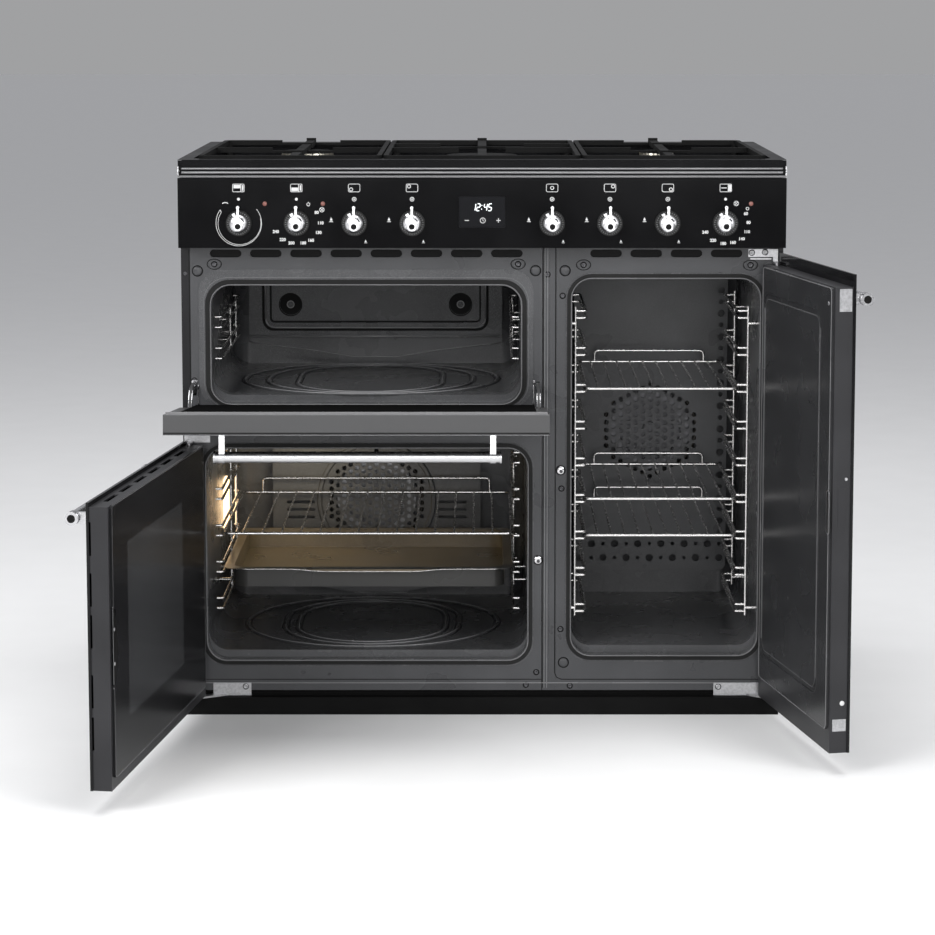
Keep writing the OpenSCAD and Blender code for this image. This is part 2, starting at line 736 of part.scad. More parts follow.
// The lever: a tapered blade with a round tip, standing proud of the cap
module lever() {
    translate([0, 0, 8.7]) linear_extrude(6.5) {
        polygon([[-2.2, -4], [2.2, -4], [1.8, 26], [-1.8, 26]]);
        translate([0, 27]) circle(2.6);
    }
}

module oven_knob(i) {
    knob(KNOBS[i], spindle_r, 0.5);
}

module gas_knob(i) {
    knob(KNOBS[i], spindle_r, tap_travel + 0.5);
}

module upper_oven_knob() {
    oven_knob(0);
}

module main_oven_knob() {
    oven_knob(1);
}

module front_left_knob() {
    gas_knob(2);
}

module back_left_knob() {
    gas_knob(3);
}

module centre_knob() {
    gas_knob(4);
}

module back_right_knob() {
    gas_knob(5);
}

module front_right_knob() {
    gas_knob(6);
}

module tall_oven_knob() {
    oven_knob(7);
}

tap_d = 24;

// A gas tap's spindle: it slides in its tap and carries the knob
module spindle(i) {
    color([0.7, 0.62, 0.4]) {
        rod_y(KNOBS[i], fy(-bezel_t - tap_travel - 8), fy(tap_d + 14), knob_z, spindle_r);
        rod_y(KNOBS[i], fy(tap_d - 9), fy(tap_d - 6), knob_z, spindle_r + 1.2);
    }
}

module front_left_spindle() {
    spindle(2);
}

module back_left_spindle() {
    spindle(3);
}

module centre_spindle() {
    spindle(4);
}

module back_right_spindle() {
    spindle(5);
}

module front_right_spindle() {
    spindle(6);
}

// Gas pipe behind the panel with five taps, three oven switches, and the inlet at the back
rail_z = knob_z - 30;
inlet_x = hw - 90;

module gas_rail() {
    rail_d = tap_d + 20;
    color([0.72, 0.6, 0.35]) {
        rod_x(KNOBS[2] - 30, inlet_x, fy(rail_d), rail_z, 6.8);
        for (i = GAS)
            difference() {
                union() {
                    rod_y(KNOBS[i], fy(tap_d), fy(rail_d + 4), knob_z, 11);
                    rod_z(KNOBS[i], fy(rail_d - 2), rail_z, knob_z, 6);
                }
                rod_y(KNOBS[i], fy(tap_d - 1), fy(tap_d + 14 + tap_travel + 0.5), knob_z,
                    spindle_r + pin_play);
            }
        wire([[inlet_x - eps, fy(rail_d), rail_z], [inlet_x + 30, fy(rail_d), rail_z],
                [inlet_x + 30, fy(body_d - 40), rail_z]], 6.5, 20);
        rod_y(inlet_x + 30, fy(body_d - 41), fy(body_d), rail_z, 8);
        rod_y(inlet_x + 30, fy(body_d), fy(body_d + 14), rail_z, inlet_r);
    }
    color([0.85, 0.85, 0.83])
        for (i = [0, 1, 7]) {
            block([KNOBS[i] - 16, KNOBS[i] + 16], [fy(tap_d - 6), fy(tap_d + 18)],
                [knob_z - 14, knob_z + 18]);
            rod_y(KNOBS[i], fy(-bezel_t - 8), fy(tap_d - 6 + eps), knob_z, spindle_r);
        }
}

// ---- Hob ----

well_side = 22;
well_front = 38;
well_back = 34;

// The outline of the hob's well, widened by g
module well_outline(g) {
    translate([0, fy((body_d + well_front - well_back) / 2)])
        round_rect(body_w - 2 * well_side + 2 * g, body_d - well_front - well_back + 2 * g, 16 + g);
}

// Pressed hob: a raised rim round a deep well, with a hole for each burner
module hob_top() {
    edge_r = 8;
    color([0.03, 0.03, 0.03]) difference() {
        union() {
            translate([0, 0, hob_z]) linear_extrude(rim_z - hob_z)
                translate([0, fy(body_d / 2)]) round_rect(body_w, body_d, edge_r);
            translate([0, 0, floor_z - sheet]) linear_extrude(hob_z - floor_z + sheet + eps)
                well_outline(sheet);
        }
        translate([0, 0, hob_z - 1]) linear_extrude(rim_z - hob_z - 1) difference() {
            translate([0, fy(body_d / 2)]) round_rect(body_w - 4, body_d - 4, edge_r - 2);
            well_outline(sheet);
        }
        translate([0, 0, floor_z]) linear_extrude(rim_z - floor_z + 1) well_outline(0);
        for (b = BURNERS) rod_z(b[0], fy(b[1]), hob_z - 30, rim_z, b[2] - 8);
    }
}

// Burner body: a cup let into the hob, its flange on the recess, and a slotted crown
module burner_body(x, d, r) {
    translate([x, fy(d), 0]) difference() {
        union() {
            translate([0, 0, floor_z - 20]) cylinder(h = 21, r = r - 8.5);
            translate([0, 0, floor_z]) cylinder(h = 3, r = r + 6);
            translate([0, 0, floor_z + 3 - eps]) cylinder(h = 9, r1 = r + 1, r2 = r);
        }
        translate([0, 0, floor_z + 4]) cylinder(h = 9, r = r - 12);
        for (k = [0 : 23])
            rotate([0, 0, k * 15]) translate([r - 14, -0.9, floor_z + 6.5]) cube([20, 1.8, 6]);
    }
}

module burner_bodies() {
    color([0.75, 0.7, 0.55])
        for (b = BURNERS) burner_body(b[0], b[1], b[2]);
}

module burner_caps() {
    z = floor_z + 12;
    color([0.06, 0.06, 0.06])
        for (b = BURNERS)
            translate([b[0], fy(b[1]), z]) rotate_extrude()
                polygon([[0, 0], [b[2] + 1, 0], [b[2] + 1, 1.6], [b[2] - 1.5, 3.2], [0, 3.8]]);
}

// One cast pan stand: an outer frame on feet, cross bars whose middles dip under a pan, and
// lengthwise fingers at the burners. Fingers and bars are given by their depths.
module pan_stand(x0, x1, fx, fingers, bars, dip, back_dip) {
    d0 = 42;
    d1 = body_d - 42;
    cx = (x0 + x1) / 2;
    top = floor_z + stand_h;
    z = [top - 9, top];
    difference() {
        union() {
            difference() {
                translate([cx, fy((d0 + d1) / 2), z[0]]) linear_extrude(9) round_rect(x1 - x0, d1 - d0, 14);
                translate([cx, fy((d0 + d1) / 2), z[0] - 1]) linear_extrude(11)
                    round_rect(x1 - x0 - 2 * bar_w, d1 - d0 - 2 * bar_w, 8);
            }
            for (d = bars)
                block([x0 + bar_w / 2, x1 - bar_w / 2], [fy(d) - bar_w / 2, fy(d) + bar_w / 2], z);
        }
        for (d = back_dip ? concat(bars, [d1 - bar_w / 2]) : bars)
            block([fx - dip, fx + dip], [fy(d) - bar_w / 2 - 1, fy(d) + bar_w / 2 + 1], [top - 5, top + 1]);
    }
    for (sx = [-1, 1])
        for (d = [d0 + bar_w, d1 - bar_w])
            rod_z(cx + sx * ((x1 - x0) / 2 - bar_w), fy(d), floor_z, z[0] + 1, 6);
    for (f = fingers)
        block([fx - finger_w / 2, fx + finger_w / 2], [fy(f[0]), fy(f[1])], z);
    block([fx - finger_w / 2 - 1, fx + finger_w / 2 + 1], [fy(d1 - bar_w), fy(d1)], [z[0] + 1, top + 4]);
}

finger_w = 15;
stand_gap = 3;
stand_split = 165;
stand_end = hw - 30;

// Depths between which the lengthwise fingers of a side stand and the centre stand run
SIDE_FINGERS = [[44, 140], [200, body_d / 2 - 2], [body_d / 2 + 2, 407], [463, body_d - 44]];
CENTRE_FINGERS = [[44, 259], [341, body_d - 44]];

module left_pan_stand() {
    color([0.05, 0.05, 0.05])
        pan_stand(-stand_end, -stand_split - stand_gap / 2, -burner_x, SIDE_FINGERS, [body_d / 2], 53, true);
}

module centre_pan_stand() {
    x = stand_split - stand_gap / 2;
    color([0.05, 0.05, 0.05]) {
        pan_stand(-x, x, 0, CENTRE_FINGERS, [body_d - 170], 75, false);
        for (s = [-1, 1])
            block(s > 0 ? [41, x - bar_w / 2] : [-x + bar_w / 2, -41],
                [fy(body_d / 2) - bar_w / 2, fy(body_d / 2) + bar_w / 2],
                [floor_z + stand_h - 9, floor_z + stand_h]);
    }
}

module right_pan_stand() {
    color([0.05, 0.05, 0.05])
        pan_stand(stand_split + stand_gap / 2, stand_end, burner_x, SIDE_FINGERS, [body_d / 2], 53, true);
}

// ---- Doors, drawn closed and then turned open ----

arm_x = [-hw + 20, split_x - 16];
arm_mid_r = 57;
arm_w = 10;

module swing_main() {
    p = [-hw + side_pivot_in, fy(side_pivot_d), 0];
    translate(p) rotate([0, 0, -main_open]) translate(-p) children();
}

module swing_tall() {
    p = [hw - side_pivot_in, fy(side_pivot_d), 0];
    translate(p) rotate([0, 0, tall_open]) translate(-p) children();
}

module swing_drop() {
    p = [0, fy(drop_pivot_d), drop_pivot_z];
    translate(p) rotate([drop_open, 0, 0]) translate(-p) children();
}

// A bar with a bracket and a cap at each end. It runs along X in front of the door.
module handle(x0, x1, z, out) {
    color([0.85, 0.85, 0.86]) {
        rod_x(x0 + 3, x1 - 3, fy(-out), z, grip_r);
        for (e = [[x0, x0 + 3], [x1 - 3, x1]]) rod_x(e[0], e[1], fy(-out), z, grip_r + 1.5);
        for (x = [x0 + 9, x1 - 18]) {
            rod_x(x, x + 9, fy(-out), z, grip_r + 1.5);
            block([x, x + 9], [fy(-out), fy(0)], [z - grip_r, z + grip_r]);
        }
    }
}

left_x = [-hw, -hw + left_w];
right_x = [hw - right_w, hw];
grip_down = 47.5;
main_grip_z = main_top - 38.5;

// Heights of the air slots in the main door's free edge over its lower edge
EDGE_SLOTS = [61, 125, 215, 278, 354];

// Main door
module main_door_skin() {
    color([0.03, 0.03, 0.03]) swing_main()
        block(left_x, [fy(0), fy(skin_t)], [door_z, main_top]);
}

box_back = door_t - glass_t;
main_box_top = main_top - 6.5;
box_t = 2.5;

// A door's sheet box, open towards the skin, with a boss for the hinge pin at each end
module door_box(x, z, px) {
    difference() {
        block(x, [fy(skin_t), fy(box_back)], z);
        block([x[0] + box_t, x[1] - box_t], [fy(skin_t) - 1, fy(box_back - box_t)],
            [z[0] + box_t, z[1] - box_t]);
    }
    for (bz = [[z[0] + 1, z[0] + 15], [z[1] - 15, z[1] - 1]])
        block([px - 6, px + 6], [fy(side_pivot_d - 6), fy(box_back - 1)], bz);
}

module main_door_frame() {
    x = [left_x[0] + 3, left_x[1] - 2];
    px = left_x[0] + side_pivot_in;
    color([0.16, 0.16, 0.17]) swing_main() difference() {
        door_box(x, [door_z, main_box_top], px);
        slab([x[0] + 168, x[1] - 95], [door_z + 95, main_box_top - 69], skin_t - 1, box_back + 1, 9);
        for (i = [0 : 5])
            block([x[0] + 60 + i * 86, x[0] + 122 + i * 86], [fy(skin_t + 8), fy(skin_t + 16)],
                [main_box_top - 9, main_box_top + 1]);
        for (z = EDGE_SLOTS)
            block([x[1] - 3, x[1] + 1], [fy(skin_t) - 1, fy(skin_t + 2.5)], [door_z + z, door_z + z + 50]);
        rod_z(px, fy(side_pivot_d), door_z - 1, door_z + 12, pin_r + pin_play);
        rod_z(px, fy(side_pivot_d), main_box_top - 12, main_box_top + 1, pin_r + pin_play);
    }
}

module main_door_glass() {
    color([0.05, 0.05, 0.06]) swing_main() difference() {
        slab([left_x[0] + 16, left_x[1] - 10], [door_z + 18, main_box_top + 1], box_back, door_t, 6);
        slab([left_x[1] - 24, left_x[1]], [(door_z + main_top) / 2 - 57, (door_z + main_top) / 2 + 57],
            box_back - 1, door_t + 1, 9);
    }
}

module main_door_handle() {
    swing_main() handle(left_x[0] + grip_inset, left_x[1] - grip_inset, main_grip_z, grip_out);
}

// Tall door
module tall_door_skin() {
    color([0.03, 0.03, 0.03]) swing_tall()
        block(right_x, [fy(0), fy(skin_t)], [door_z, door_top]);
}

tall_box_top = door_top - 20;

module tall_door_frame() {
    x = [right_x[0] + 2, right_x[1] - 3];
    px = hw - side_pivot_in;
    color([0.2, 0.2, 0.21]) swing_tall() difference() {
        door_box(x, [door_z, tall_box_top], px);
        block([x[0] - 1, x[0] + 4], [fy(skin_t + 10), fy(skin_t + 18)], [396, 448]);
        rod_z(px, fy(side_pivot_d), door_z - 1, door_z + 12, pin_r + pin_play);
        rod_z(px, fy(side_pivot_d), tall_box_top - 12, tall_box_top + 1, pin_r + pin_play);
    }
}

// Inner panel of pressed enamelled steel with a wide raised field
module tall_door_panel() {
    x = [right_x[0] + 8, right_x[1] - 16];
    color([0.26, 0.26, 0.27]) swing_tall() difference() {
        slab(x, [door_z + 36, tall_box_top - 1], box_back, door_t, 8);
        difference() {
            slab([x[0] + 50, x[1] - 8], [door_z + 79, tall_box_top - 43], door_t - 1.2, door_t + 1, 24);
            slab([x[0] + 58, x[1] - 16], [door_z + 87, tall_box_top - 51], door_t - 2, door_t + 2, 18);
        }
    }
}

module tall_door_handle() {
    swing_tall() handle(right_x[0] + grip_inset, right_x[1] - grip_inset, door_top - grip_down, grip_out);
}

// Drop door
module drop_door_skin() {
    color([0.03, 0.03, 0.03]) swing_drop()
        block(left_x, [fy(0), fy(skin_t)], [drop_z, door_top]);
}

// Frame of the drop door, with the hinge lugs and the curved arms that slide through the body
module drop_door_frame() {
    hip = drop_pivot_z + 19.5;
    color([0.3, 0.3, 0.31]) swing_drop() {
        difference() {
            union() {
                difference() {
                    block(left_x, [fy(skin_t), fy(box_back)], [hip, door_top]);
                    block([left_x[0] + box_t, left_x[1] - box_t], [fy(skin_t) - 1, fy(box_back - box_t)],
                        [hip + 12, door_top - box_t]);
                }
                block([left_x[0] + 12, lug_x1], [fy(skin_t), fy(box_back)], [drop_pivot_z - 4, hip + 1]);
                for (x = [[left_x[0] + 12, left_x[0] + 17], [lug_x1 - 5, lug_x1]])
                    rod_x(x[0], x[1], fy(drop_pivot_d), drop_pivot_z, 6);
            }
            slab([left_x[0] + 95, left_x[1] - 95], [hip + 45, door_top - 70], skin_t - 1, box_back + 1, 12);
            rod_x(left_x[0] + 11, left_x[0] + 17.5, fy(drop_pivot_d), drop_pivot_z, drop_pin_r + pin_play);
            rod_x(lug_x1 - 5.5, lug_x1 + 1, fy(drop_pivot_d), drop_pivot_z, drop_pin_r + pin_play);
        }
        for (x = arm_x) hinge_arm(x);
    }
}

lug_x1 = split_x - 11;

// A curved arm about the drop door's axis: it joins the door's back and slides into the body
module hinge_arm(x) {
    translate([x - 2, fy(drop_pivot_d), drop_pivot_z]) rotate([90, 0, 90]) linear_extrude(4) intersection() {
        difference() {
            circle(arm_mid_r + arm_w / 2);
            circle(arm_mid_r - arm_w / 2);
        }
        polygon([[0, 0], 90 * [cos(-36), sin(-36)], 130 * [cos(15), sin(15)], 90 * [cos(75), sin(75)]]);
    }
}

module drop_door_glass() {
    color([0.05, 0.05, 0.06]) swing_drop()
        slab([left_x[0] + 26, left_x[1] - 20], [drop_pivot_z + 6.5, door_top - 12], box_back, door_t, 6);
}

module drop_door_handle() {
    swing_drop() handle(left_x[0] + grip_inset, left_x[1] - grip_inset, door_top - grip_down, drop_grip_out);
}

// ---- Hinges on the body ----

arm_t = 3;

// Bottom bracket of a side door: a plate on the frame, an arm under the door, and the pin
module bottom_bracket(plate0, plate1) {
    px = -hw + side_pivot_in;
    py = fy(side_pivot_d);
    z = door_z - 1.2 - arm_t;
    block([plate0, plate1], [fy(face_d - sheet), fy(face_d)], [z, skirt_z + 13]);
    translate([0, 0, z]) linear_extrude(arm_t) {
        polygon([[plate0, fy(face_d)], [plate0 + 30, fy(face_d)], [px + 4, py - arm_half],
                [px - 4, py + arm_half]]);
        translate([px, py]) circle(arm_half + 1);
    }
    rod_z(px, py, z, door_z + 11, pin_r);
}

// Top bracket of a side door: a plate on the front, an arm over the door's frame, and the pin
module top_bracket(box_top, plate_x, plate_z) {
    px = -hw + side_pivot_in;
    py = fy(side_pivot_d);
    z = box_top + 1.5;
    block(plate_x, [fy(face_d - sheet), fy(face_d)], plate_z);
    block([px - arm_half, px + arm_half], [py, fy(face_d)], [z, z + arm_t]);
    block([px - arm_half, px + arm_half], [fy(face_d - sheet), fy(face_d)],
        [min(z, plate_z[0]), max(z + arm_t, plate_z[1])]);
    translate([px, py, z]) cylinder(h = arm_t, r = arm_half);
    rod_z(px, py, box_top - 11, z + arm_t, pin_r);
}

// Bracket of the drop door: an arm from the front with a pin towards the middle of the door
module drop_bracket(x0, s) {
    block([min(x0, x0 + s * 4), max(x0, x0 + s * 4)], [fy(drop_pivot_d), fy(face_d)],
        [drop_pivot_z - 4, drop_pivot_z + 4]);
    rod_x(min(x0, x0 + s * 4), max(x0, x0 + s * 4), fy(drop_pivot_d), drop_pivot_z, 4);
    rod_x(min(x0, x0 - s * 5.5), max(x0, x0 - s * 5.5), fy(drop_pivot_d), drop_pivot_z, drop_pin_r);
}

module hinge_brackets() {
    color([0.8, 0.8, 0.8]) {
        bottom_bracket(-hw + 46, -hw + 110);
        mirror([1, 0, 0]) bottom_bracket(-hw + 26, -hw + 109);
        top_bracket(main_box_top, [-hw + 2, -hw + 45], [main_box_top + 1.5, main_box_top + 13]);
        mirror([1, 0, 0]) top_bracket(tall_box_top, [-hw + 13, -hw + 58], [frame_top - 15, frame_top - 2]);
        drop_bracket(left_x[0] + 11, -1);
        drop_bracket(lug_x1 + 1, 1);
    }
}

base_frame();
feet();
plinth();
side_panels();
back_panel();
left_front_frame();
right_front_frame();
control_panel();
trim_strip();
clock_display();
knob_bezels();
gas_rail();
hob_top();
burner_bodies();
burner_caps();
upper_cavity();
main_cavity();
tall_cavity();
left_racks();
tall_racks();
fan_covers();
oven_seals();
hinge_brackets();
heating_elements();
oven_lamp();
upper_oven_knob();
main_oven_knob();
front_left_knob();
back_left_knob();
centre_knob();
front_right_knob();
back_right_knob();
tall_oven_knob();
front_left_spindle();
back_left_spindle();
centre_spindle();
front_right_spindle();
back_right_spindle();
left_pan_stand();
centre_pan_stand();
right_pan_stand();
main_shelf();
roasting_tray();
tall_shelf_top();
tall_shelf_middle();
tall_shelf_bottom();
main_fan();
tall_fan();
drop_door_skin();
drop_door_frame();
drop_door_glass();
drop_door_handle();
main_door_skin();
main_door_frame();
main_door_glass();
main_door_handle();
tall_door_skin();
tall_door_frame();
tall_door_panel();
tall_door_handle();
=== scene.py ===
"""Looks of the range cooker: materials, small parts, dial markings, camera and light.

The helpers take millimetres, and MM turns them into metres. X runs to the right, Y to the back
and Z up. Pieces on a door are drawn with it closed and then turned to its open rest pose.
"""
import math

import bmesh
import bpy
from mathutils import Euler, Matrix, Vector


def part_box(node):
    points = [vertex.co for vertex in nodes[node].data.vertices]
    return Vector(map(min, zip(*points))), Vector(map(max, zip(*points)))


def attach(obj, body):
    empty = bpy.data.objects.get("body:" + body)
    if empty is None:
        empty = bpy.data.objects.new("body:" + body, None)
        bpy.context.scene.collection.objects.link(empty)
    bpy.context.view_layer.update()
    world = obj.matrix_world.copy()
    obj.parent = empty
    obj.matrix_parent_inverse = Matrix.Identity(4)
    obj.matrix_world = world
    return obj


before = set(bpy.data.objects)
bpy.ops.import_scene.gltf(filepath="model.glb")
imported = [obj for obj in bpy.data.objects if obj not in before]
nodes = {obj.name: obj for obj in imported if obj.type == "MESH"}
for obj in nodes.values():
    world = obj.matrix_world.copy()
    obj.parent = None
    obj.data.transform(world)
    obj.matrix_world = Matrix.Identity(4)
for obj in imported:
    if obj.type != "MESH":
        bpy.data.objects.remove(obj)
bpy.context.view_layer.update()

MM = 0.001
PANEL_Y = -300.0   # front of the control panel
FACE_Y = -260.0    # front of the two sheets round the oven mouths
BRACKET_Y = -262   # front of the hinge brackets
INNER_Y = -263.5   # inside of the side doors' glass and panel, with the doors closed
LEFT_X = -193      # middle of the two left ovens

# ---------------------------------------------------------------- material builders

TONE_SCALE = 9.0     # slow change of tone over a surface
PEEL_SCALE = 160.0   # orange peel of sprayed or fired coats
PEEL_BUMP = (0.06, 0.0004)    # strength, and depth in metres
GRAIN_DEPTH = 0.0002          # of brushed or cast metal, in metres


def material(name):
    m = bpy.data.materials.new(name)
    m.use_nodes = True
    nt = m.node_tree
    return m, nt, nt.nodes["Principled BSDF"], nt.links


def noise(nt, scale, detail=2.0, rough=0.5, vec=None):
    n = nt.nodes.new("ShaderNodeTexNoise")
    n.inputs["Scale"].default_value = scale
    n.inputs["Detail"].default_value = detail
    n.inputs["Roughness"].default_value = rough
    if vec is not None:
        nt.links.new(vec, n.inputs["Vector"])
    return n


def ramp(nt, fac, stops):
    r = nt.nodes.new("ShaderNodeValToRGB")
    nt.links.new(fac, r.inputs["Fac"])
    elements = r.color_ramp.elements
    while len(elements) < len(stops):
        elements.new(0.5)
    for element, (position, colour) in zip(elements, stops):
        element.position = position
        element.color = (*colour, 1.0)
    return r


def grey(v):
    return (v, v, v)


def shades(colour, vary):
    """A darker and a lighter shade of a colour."""
    return tuple(c * (1 - vary) for c in colour), tuple(min(c * (1 + vary), 1) for c in colour)


def colour_mix(nt):
    mix = nt.nodes.new("ShaderNodeMix")
    mix.data_type = "RGBA"
    return mix


def bump(nt, bsdf, height, strength, distance):
    b = nt.nodes.new("ShaderNodeBump")
    b.inputs["Strength"].default_value = strength
    b.inputs["Distance"].default_value = distance
    nt.links.new(height, b.inputs["Height"])
    nt.links.new(b.outputs["Normal"], bsdf.inputs["Normal"])


def coords(nt, stretch=(1, 1, 1)):
    tc = nt.nodes.new("ShaderNodeTexCoord")
    mp = nt.nodes.new("ShaderNodeMapping")
    mp.inputs["Scale"].default_value = stretch
    nt.links.new(tc.outputs["Object"], mp.inputs["Vector"])
    return mp.outputs["Vector"]


def enamel(name, colour, vary, rough, speck=None, speck_size=900.0, metallic=0.0,
           rough_vary=0.05, shine=0.3):
    """Enamel or lacquer: faint tone change, orange peel, and optional fine specks."""
    m, nt, bsdf, links = material(name)
    v = coords(nt)
    tone = noise(nt, TONE_SCALE, 3.0, vec=v).outputs["Fac"]
    lo, hi = shades(colour, vary)
    out = ramp(nt, tone, [(0.3, lo), (0.7, hi)]).outputs["Color"]
    if speck is not None:
        grain = noise(nt, speck_size, 1.0, vec=v).outputs["Fac"]
        mask = ramp(nt, grain, [(0.60, grey(0)), (0.66, grey(1))])
        mix = colour_mix(nt)
        mix.inputs["B"].default_value = (*speck, 1)
        links.new(mask.outputs["Color"], mix.inputs["Factor"])
        links.new(out, mix.inputs["A"])
        out = mix.outputs["Result"]
    links.new(out, bsdf.inputs["Base Color"])
    smoothest = max(rough - rough_vary, 0.02)
    gloss = ramp(nt, tone, [(0.25, grey(smoothest)), (0.75, grey(rough + rough_vary))])
    links.new(gloss.outputs["Color"], bsdf.inputs["Roughness"])
    bsdf.inputs["Metallic"].default_value = metallic
    bsdf.inputs["Specular IOR Level"].default_value = shine
    bump(nt, bsdf, noise(nt, PEEL_SCALE, 2.0, vec=v).outputs["Fac"], *PEEL_BUMP)
    return m


def metal(name, colour, rough, stretch=(1, 1, 1), scale=400.0, vary=0.06, strength=0.12):
    """Metal with grain along one direction, or fine even grain."""
    m, nt, bsdf, links = material(name)
    grain = noise(nt, scale, 3.0, 0.6, vec=coords(nt, stretch)).outputs["Fac"]
    lo, hi = shades(colour, vary)
    base = ramp(nt, grain, [(0.35, lo), (0.65, hi)])
    links.new(base.outputs["Color"], bsdf.inputs["Base Color"])
    gloss = ramp(nt, grain, [(0.3, grey(max(rough - 0.05, 0.02))), (0.7, grey(rough + 0.06))])
    links.new(gloss.outputs["Color"], bsdf.inputs["Roughness"])
    bsdf.inputs["Metallic"].default_value = 1.0
    bump(nt, bsdf, grain, strength, GRAIN_DEPTH)
    return m


def mottled(name, colour, darker, scale):
    """A shader whose colour varies slowly between a darker shade and the colour itself."""
    m, nt, bsdf, links = material(name)
    tone = noise(nt, scale, 2.0, vec=coords(nt)).outputs["Fac"]
    shade = ramp(nt, tone, [(0.3, tuple(c * darker for c in colour)), (0.7, colour)])
    links.new(shade.outputs["Color"], bsdf.inputs["Base Color"])
    return m, bsdf, links, shade


def tinted_glass(name, colour, rough, shine):
    """Dark printed or tinted glass, seen as a glossy surface."""
    m, bsdf, _, _ = mottled(name, colour, 0.85, 5.0)
    bsdf.inputs["Roughness"].default_value = rough
    bsdf.inputs["Specular IOR Level"].default_value = shine
    return m


def glow(name, colour, strength, vary=0.2):
    """A lit surface: lamp lens, clock digits or pilot lamp."""
    m, bsdf, links, shade = mottled(name, colour, 1 - vary, 60.0)
    links.new(shade.outputs["Color"], bsdf.inputs["Emission Color"])
    bsdf.inputs["Emission Strength"].default_value = strength
    bsdf.inputs["Roughness"].default_value = 0.3
    return m


def tray_enamel():
    """The tray's enamel: brown inside, dark on the outside of its front wall."""
    m = enamel("tray_enamel", TRAY_BROWN, 0.25, 0.3, speck=TRAY_SPECK)
    nt = m.node_tree
    base = nt.nodes["Principled BSDF"].inputs["Base Color"]
    brown = base.links[0].from_socket
    tc = nt.nodes.new("ShaderNodeTexCoord")
    split = nt.nodes.new("ShaderNodeSeparateXYZ")
    nt.links.new(tc.outputs["Object"], split.inputs["Vector"])
    front_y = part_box("roasting_tray")[0][1]
    inside = nt.nodes.new("ShaderNodeMapRange")
    inside.inputs["From Min"].default_value = front_y + 0.03
    inside.inputs["From Max"].default_value = front_y + 0.045
    nt.links.new(split.outputs["Y"], inside.inputs["Value"])
    mix = colour_mix(nt)
    mix.inputs["A"].default_value = (0.03, 0.0295, 0.028, 1)
    nt.links.new(brown, mix.inputs["B"])
    nt.links.new(inside.outputs["Result"], mix.inputs["Factor"])
    nt.links.new(mix.outputs["Result"], base)
    return m


# ---------------------------------------------------------------- materials

TRAY_BROWN = (0.13, 0.105, 0.07)
TRAY_SPECK = (0.17, 0.14, 0.1)
OVEN_GREY = (0.062, 0.063, 0.066)

